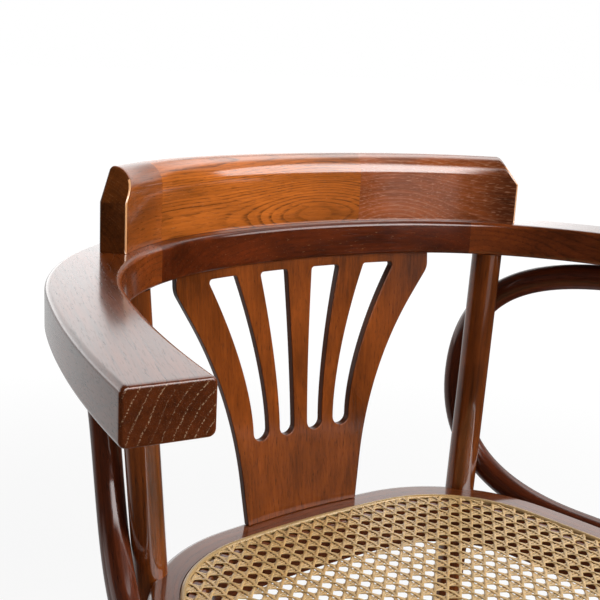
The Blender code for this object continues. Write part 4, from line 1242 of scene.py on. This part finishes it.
def cane_paths(sizes):
    """A mesh of edges along every strand, with its layer's waves."""
    pitch = sizes.cane_pitch
    inset = GROOVE_INSET + TOUCH + CANE_OVERLAP
    half = [SEAT.at(station, -inset)[0] for station in seat_stations(sizes.facet)]
    edge = [point.to_2d() for point in half] + [Vector((-point.x, point.y)) for point in half[-2:0:-1]]
    middle = (min(point.y for point in edge) + max(point.y for point in edge)) / 2
    level = SEAT_TOP - CANE_DROP
    points, edges, strands = [], [], []
    for number, (start, way, layer) in enumerate(cane_lines(pitch, sizes.cane_width, edge)):
        found = crossings(start, way, edge)
        if len(found) < 2 or found[-1] - found[0] < pitch:
            continue
        step = pitch / 2 if layer < 3 else pitch / 4
        inner = [n * step for n in range(ceil(found[0] / step), int(found[-1] // step) + 1)]
        for index, walked in enumerate([found[0]] + inner + [found[-1]]):
            place = start + way * walked
            wave = strand_wave(layer, place.x, place.y - middle, pitch, sizes.cane_thick)
            points.append((place.x, place.y, level + wave))
            strands.append(number)
            if index:
                edges.append((len(points) - 2, len(points) - 1))
    mesh = bpy.data.meshes.new("cane_paths")
    mesh.from_pydata(points, edges, [])
    strand = mesh.attributes.new("strand", "INT", "POINT")
    strand.data.foreach_set("value", strands)
    return mesh


def strand_tree():
    """Geometry nodes that turn edges into flat strands with their own grain coordinates."""
    tree, given, out = new_geometry("cane_strands", (
        ("Width", "NodeSocketFloat"), ("Thickness", "NodeSocketFloat"), ("Material", "NodeSocketMaterial")))
    curves = put(tree, "GeometryNodeMeshToCurve", {"Mesh": given["Geometry"]}).outputs["Curve"]
    level = put(tree, "GeometryNodeSetCurveNormal", {"Curve": curves}, mode="Z_UP").outputs["Curve"]
    walked = put(tree, "GeometryNodeSplineParameter").outputs["Length"]
    strand = stored(tree, "strand", "INT")
    place = put(tree, "ShaderNodeCombineXYZ", {"X": walked, "Y": strand}).outputs["Vector"]
    marked = put(tree, "GeometryNodeStoreNamedAttribute", {
        "Geometry": level, "Name": "grain", "Value": place,
    }, data_type="FLOAT_VECTOR", domain="POINT").outputs["Geometry"]
    loop = put(tree, "GeometryNodeCurvePrimitiveCircle", {"Resolution": 6, "Radius": 0.5}).outputs["Curve"]
    flat = placed(tree, loop, "Scale", combined(tree, given["Width"], given["Thickness"], 1.0))
    skin = put(tree, "GeometryNodeCurveToMesh", {"Curve": marked, "Profile Curve": flat, "Fill Caps": True})
    close_geometry(tree, skin.outputs["Mesh"], given["Material"], out)
    return tree


def new_geometry(name, inputs):
    """An empty geometry tree with a geometry input and output and further named inputs."""
    tree = bpy.data.node_groups.new(name, "GeometryNodeTree")
    tree.is_modifier = True
    for label, kind in (("Geometry", "NodeSocketGeometry"), *inputs):
        tree.interface.new_socket(label, in_out="INPUT", socket_type=kind)
    tree.interface.new_socket("Geometry", in_out="OUTPUT", socket_type="NodeSocketGeometry")
    return tree, tree.nodes.new("NodeGroupInput").outputs, tree.nodes.new("NodeGroupOutput").inputs


def stored(tree, name, kind):
    return put(tree, "GeometryNodeInputNamedAttribute", {"Name": name}, data_type=kind).outputs["Attribute"]


def combined(tree, x, y, z):
    return put(tree, "ShaderNodeCombineXYZ", {"X": x, "Y": y, "Z": z}).outputs[0]


def placed(tree, geometry, change, value):
    """Geometry that is moved or scaled, as the name of the change says."""
    return put(tree, "GeometryNodeTransform", {"Geometry": geometry, change: value}).outputs["Geometry"]


def close_geometry(tree, geometry, material, out):
    """End a tree with smooth, realized and dressed geometry."""
    smooth = put(tree, "GeometryNodeSetShadeSmooth", {"Geometry": geometry}).outputs["Geometry"]
    real = put(tree, "GeometryNodeRealizeInstances", {"Geometry": smooth}).outputs["Geometry"]
    dressed = put(tree, "GeometryNodeSetMaterial", {"Geometry": real, "Material": material})
    tree.links.new(dressed.outputs["Geometry"], out["Geometry"])


def grown(mesh, tree, values):
    """The plain mesh that a geometry tree makes from a mesh and its named inputs."""
    holder = bpy.data.objects.new("grower", mesh)
    bpy.context.scene.collection.objects.link(holder)
    modifier = holder.modifiers.new("grow", "NODES")
    modifier.node_group = tree
    for socket in tree.interface.items_tree:
        if socket.in_out == "INPUT" and socket.name in values:
            modifier[socket.identifier] = values[socket.name]
    result = plain_mesh(holder)
    bpy.data.objects.remove(holder)
    return result


class ChairCane(Operator):
    """Weave the cane panel: paired uprights, paired cross strands and two diagonals."""

    bl_idname = "chair.cane"
    bl_label = "Cane"

    def execute(self, context):
        sizes, finish = context.scene.chair_sizes, context.scene.chair_finish
        look = cane_material("cane_look", finish.cane, 0.3)
        mesh = grown(cane_paths(sizes), strand_tree(), {
            "Width": sizes.cane_width, "Thickness": sizes.cane_thick, "Material": look})
        finished("cane_weave", mesh, look, ["cane_panel"])
        return {"FINISHED"}


# Fixings

def screw_tree():
    """Geometry nodes that set a slotted round-head screw on each point, along its aim."""
    tree, given, out = new_geometry("slotted_screws", (
        ("Head", "NodeSocketFloat"), ("Material", "NodeSocketMaterial")))
    reach = stored(tree, "reach", "FLOAT")
    turn = put(tree, "FunctionNodeAlignRotationToVector", {"Vector": stored(tree, "aim", "FLOAT_VECTOR")},
               axis="Z").outputs["Rotation"]
    ball = put(tree, "GeometryNodeMeshUVSphere", {"Segments": 24, "Rings": 12, "Radius": 0.5}).outputs["Mesh"]
    rise = calc(tree, "MULTIPLY", given["Head"], HEAD_RISE)
    dome = placed(tree, ball, "Scale", combined(tree, given["Head"], given["Head"], rise))
    blade = put(tree, "GeometryNodeMeshCube", {"Size": SLOT_CUTTER}).outputs["Mesh"]
    blade = placed(tree, blade, "Translation", (0, 0, SLOT_HEIGHT))
    head = put(tree, "GeometryNodeMeshBoolean", {"Mesh 1": dome, "Mesh 2": blade}, operation="DIFFERENCE")
    rod = put(tree, "GeometryNodeMeshCylinder", {"Vertices": 12, "Radius": SHANK_RADIUS, "Depth": 1.0})
    rod = placed(tree, rod.outputs["Mesh"], "Translation", (0, 0, -0.5))
    length = combined(tree, 1.0, 1.0, reach)
    heads = put(tree, "GeometryNodeInstanceOnPoints", {
        "Points": given["Geometry"], "Instance": head.outputs["Mesh"], "Rotation": turn}).outputs["Instances"]
    shanks = put(tree, "GeometryNodeInstanceOnPoints", {
        "Points": given["Geometry"], "Instance": rod, "Rotation": turn, "Scale": length}).outputs["Instances"]
    both = put(tree, "GeometryNodeJoinGeometry")
    tree.links.new(heads, both.inputs["Geometry"])
    tree.links.new(shanks, both.inputs["Geometry"])
    close_geometry(tree, both.outputs["Geometry"], given["Material"], out)
    return tree


def screw_line(node):
    """Seat of a screw's head, the direction it faces and its shank's length, read from the frame."""
    solid = bpy.data.objects[node]
    points = np.array([solid.matrix_world @ vertex.co for vertex in solid.data.vertices])
    middle = points.mean(axis=0)
    axis = np.linalg.svd(points - middle)[2][0]
    walked = (points - middle) @ axis
    off = np.linalg.norm(points - middle - np.outer(walked, axis), axis=1)
    head = walked[off > HEAD_SHARE * off.max()]
    if head.mean() < 0:
        axis, walked, head = -axis, -walked, -head
    return Vector(middle + axis * head.min()), Vector(axis), head.min() - walked.min()


SCREWS = ([f"{kind}_{side}" for kind in ("brace_arm_screw", "brace_seat_screw", "post_screw")
           for side in ("left", "right")] + [f"hoop_screw_{number}" for number in range(1, 5)])
DOWELS = ([f"bow_dowel_{number}" for number in range(1, 5)]
          + [f"crest_dowel_{number}" for number in range(1, 6)])
GLIDES = [f"{end}_glide_{side}" for end in ("front", "rear") for side in ("left", "right")]


class ChairFixings(Operator):
    """Make the screws and glides and dress the hidden dowels."""

    bl_idname = "chair.fixings"
    bl_label = "Fixings"

    def execute(self, context):
        self.screws(context.scene.chair_sizes.screw_head)
        self.glides(context.scene.chair_sizes.rod_sides)
        peg = peg_material()
        for node in DOWELS:
            dowel = bpy.data.objects[node]
            dowel.data.materials.clear()
            dowel.data.materials.append(peg)
        return {"FINISHED"}

    def screws(self, head):
        """All screws as one piece."""
        lines = [screw_line(node) for node in SCREWS]
        mesh = bpy.data.meshes.new("screw_points")
        mesh.from_pydata([seat for seat, aim, reach in lines], [], [])
        aims = mesh.attributes.new("aim", "FLOAT_VECTOR", "POINT")
        aims.data.foreach_set("vector", [value for seat, aim, reach in lines for value in aim])
        reaches = mesh.attributes.new("reach", "FLOAT", "POINT")
        reaches.data.foreach_set("value", [reach for seat, aim, reach in lines])
        look = steel_material()
        made = grown(mesh, screw_tree(), {"Head": head, "Material": look})
        made.set_sharp_from_angle(angle=radians(SCREW_CREASE))
        finished("screws", made, look, SCREWS)

    def glides(self, sides):
        """Four turned glides under the legs."""
        look = plastic_material()
        for node in GLIDES:
            low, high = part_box(node)
            middle = (low + high) / 2
            wide = (high.x - low.x) / 2
            thick = LEG_END - low.z - TOUCH
            profile = [(wide * share, up) for share, up in GLIDE_FOOT]
            profile += [(wide * share, thick * up) for share, up in GLIDE_WALL]
            rings = [[Vector((middle.x + x, middle.y + y, low.z + up)) for x, y in circle(radius, sides)]
                     for radius, up in profile]
            shell = Shell().skin(rings, lambda i, j: Vector())
            shell_piece(f"{node}_turned", shell, look, [node], crease=ROUND_CREASE)


# Stage

CAMERA_PLACE = Vector((-0.4828, -0.44048, 0.8318))
CAMERA_YAW = 0.6460
CAMERA_PITCH = -0.2348
CAMERA_ROLL = 0.0526
CAMERA_LENS = 61.914
SENSOR = 36.0
FLOOR_REACH = 30.0

# Softboxes: name, place, target, size and watts
LAMPS = (
    ("overhead_box", (0.05, 0.0, 2.3), (0.05, 0.0, 0.7), (1.3, 0.6), 10.0),
    ("key_box", (1.6, -1.7, 1.6), (0.0, 0.1, 0.6), (1.4, 1.4), 66.0),
)


def camera_matrix():
    """The camera's place and turn: yaw from +Y towards +X, pitch up, roll about the view line."""
    flat = cos(CAMERA_PITCH)
    ahead = Vector((sin(CAMERA_YAW) * flat, cos(CAMERA_YAW) * flat, sin(CAMERA_PITCH)))
    level = ahead.cross(Vector((0, 0, 1))).normalized()
    upright_way = level.cross(ahead)
    right = level * cos(CAMERA_ROLL) + upright_way * sin(CAMERA_ROLL)
    up = upright_way * cos(CAMERA_ROLL) - level * sin(CAMERA_ROLL)
    matrix = Matrix((right, up, -ahead)).transposed().to_4x4()
    matrix.translation = CAMERA_PLACE
    return matrix


def seen_rays(tree):
    """1 for rays from the camera or through clear things, and 1 for mirror rays."""
    rays = put(tree, "ShaderNodeLightPath").outputs
    return calc(tree, "MAXIMUM", rays["Is Camera Ray"], rays["Is Transmission Ray"]), rays["Is Glossy Ray"]


class ChairStage(Operator):
    """Set up the floor, the soft studio light, the white surroundings and the camera."""

    bl_idname = "chair.stage"
    bl_label = "Stage"

    def execute(self, context):
        scene = context.scene
        self.surroundings(scene)
        self.floor(scene)
        for lamp in LAMPS:
            self.lamp(scene, *lamp)
        camera = bpy.data.objects.new("photo_camera", bpy.data.cameras.new("photo_camera"))
        scene.collection.objects.link(camera)
        camera.data.sensor_width = SENSOR
        camera.data.lens = CAMERA_LENS
        camera.data.clip_start = 0.01
        camera.matrix_world = camera_matrix()
        scene.camera = camera
        scene.view_settings.view_transform = "Standard"
        return {"FINISHED"}

    def surroundings(self, scene):
        """White for the camera and an even dim light on surfaces.

        Varnish mirrors bright fields: one behind the chair, a band in front, and patches above it
        and to its right.
        """
        world = bpy.data.worlds.new("studio")
        scene.world = world
        world.use_nodes = True
        tree = world.node_tree
        way = put(tree, "ShaderNodeTexCoord").outputs["Generated"]
        x, y, z = put(tree, "ShaderNodeSeparateXYZ", {"Vector": way}).outputs
        behind = times(tree, ramp(tree, y, 0.0, 0.5, 0.03, 1.0), ramp(tree, z, -0.02, 0.3))
        behind = calc(tree, "MAXIMUM", behind, ramp(tree, y, 0.5, 0.68))
        low = times(tree, ramp(tree, z, 0.40, 0.56, 1.0, 0.06), ramp(tree, z, 0.10, 0.25, 2.1, 1.6))
        front = times(tree, ramp(tree, y, -0.40, -0.46), ramp(tree, x, 0.84, 0.80),
                      ramp(tree, x, -0.45, -0.15), ramp(tree, x, 0.2, 0.75, 13.0, 6.5))
        band = times(tree, ramp(tree, z, 0.06, 0.12), ramp(tree, z, 0.56, 0.78, 1.0, 0.0))
        above = times(tree, ramp(tree, z, 0.50, 0.75), ramp(tree, y, 0.0, 0.3, 0.0, 2.8))
        above = calc(tree, "ADD", above, ramp(tree, z, 0.42, 0.58, 0.0, 0.7))
        right = times(tree, ramp(tree, y, -0.06, 0.06), ramp(tree, y, 0.15, 0.35, 1.0, 0.0),
                      ramp(tree, x, 0.3, 0.6))
        above = calc(tree, "MULTIPLY_ADD", right, ramp(tree, z, 0.08, 0.2), above)
        above = times(tree, above, ramp(tree, x, 0.2, 0.45))
        mirror = calc(tree, "MULTIPLY_ADD", front, band, calc(tree, "MULTIPLY_ADD", behind, low, above))
        seen, glossy = seen_rays(tree)
        level = between(tree, seen, between(tree, glossy, 0.36, mirror), 1.0)
        wire(tree, tree.nodes["Background"], {"Color": (1.0, 1.0, 1.0, 1.0), "Strength": level})

    def floor(self, scene):
        """A wide pale floor that stays white to the camera apart from soft shadows."""
        corners = ((-1, -1), (1, -1), (1, 1), (-1, 1))
        mesh = bpy.data.meshes.new("floor")
        mesh.from_pydata([(x * FLOOR_REACH, y * FLOOR_REACH, 0) for x, y in corners], [], [(0, 1, 2, 3)])
        floor = bpy.data.objects.new("floor", mesh)
        scene.collection.objects.link(floor)
        material, tree, shader = shader_of("floor_look")
        wire(tree, shader, {
            "Base Color": (0.86, 0.86, 0.86, 1.0), "Roughness": 0.9, "Specular IOR Level": 0.0})
        place = put(tree, "ShaderNodeTexCoord").outputs["Object"]
        away = distance(tree, place)
        way = put(tree, "ShaderNodeVectorMath", {0: place}, operation="NORMALIZE").outputs[0]
        x, y, z = put(tree, "ShaderNodeSeparateXYZ", {"Vector": way}).outputs
        seen, glossy = seen_rays(tree)
        ahead = times(tree, ramp(tree, x, -0.28, -0.18), ramp(tree, x, 0.26, 0.38, 0.75, 0.0),
                      ramp(tree, y, -0.3, -0.5), ramp(tree, away, 4.2, 4.9))
        mirror = calc(tree, "ADD", ramp(tree, y, 0.45, 0.82, 0.015, 0.6), ahead)
        glow = put(tree, "ShaderNodeEmission", {
            "Color": (1, 1, 1, 1), "Strength": between(tree, glossy, 1.04, mirror)})
        share = calc(tree, "MAXIMUM", times(tree, seen, ramp(tree, away, 0.9, 2.6, 0.75, 1.0)), glossy)
        blend = put(tree, "ShaderNodeMixShader", {0: share, 1: shader.outputs[0], 2: glow.outputs[0]})
        tree.links.new(blend.outputs[0], tree.nodes["Material Output"].inputs["Surface"])
        mesh.materials.append(material)

    def lamp(self, scene, name, place, target, size, watts):
        """A rectangular softbox aimed at a point, seen neither by the camera nor in varnish."""
        light = bpy.data.lights.new(name, "AREA")
        light.shape = "RECTANGLE"
        light.size, light.size_y = size
        light.energy = watts
        lamp = bpy.data.objects.new(name, light)
        scene.collection.objects.link(lamp)
        lamp.location = place
        lamp.rotation_euler = (Vector(target) - Vector(place)).to_track_quat("-Z", "Y").to_euler()
        lamp.visible_camera = False
        lamp.visible_glossy = False


STEPS = (ChairBow, ChairCrest, ChairSplat, ChairRods, ChairSeat, ChairCane, ChairFixings, ChairStage)


class ChairPanel(Panel):
    """Lists the chair's pieces, sizes and colours in the sidebar."""

    bl_idname = "VIEW3D_PT_cane_chair"
    bl_label = "Cane seat chair"
    bl_space_type = "VIEW_3D"
    bl_region_type = "UI"
    bl_category = "Chair"

    def draw(self, context):
        for step in STEPS:
            self.layout.operator(step.bl_idname)
        for group in (context.scene.chair_sizes, context.scene.chair_finish):
            box = self.layout.box()
            for name in group.bl_rna.properties.keys():
                if name not in ("rna_type", "name"):
                    box.prop(group, name)


CLASSES = (ChairSizes, ChairFinish, *STEPS, ChairPanel)


def register():
    for item in CLASSES:
        bpy.utils.register_class(item)
    bpy.types.Scene.chair_sizes = PointerProperty(type=ChairSizes)
    bpy.types.Scene.chair_finish = PointerProperty(type=ChairFinish)


def unregister():
    del bpy.types.Scene.chair_sizes
    del bpy.types.Scene.chair_finish
    for item in reversed(CLASSES):
        bpy.utils.unregister_class(item)


def main():
    register()
    for step in STEPS:
        getattr(bpy.ops.chair, step.bl_idname.split(".")[1])()


if __name__ == "__main__":
    main()
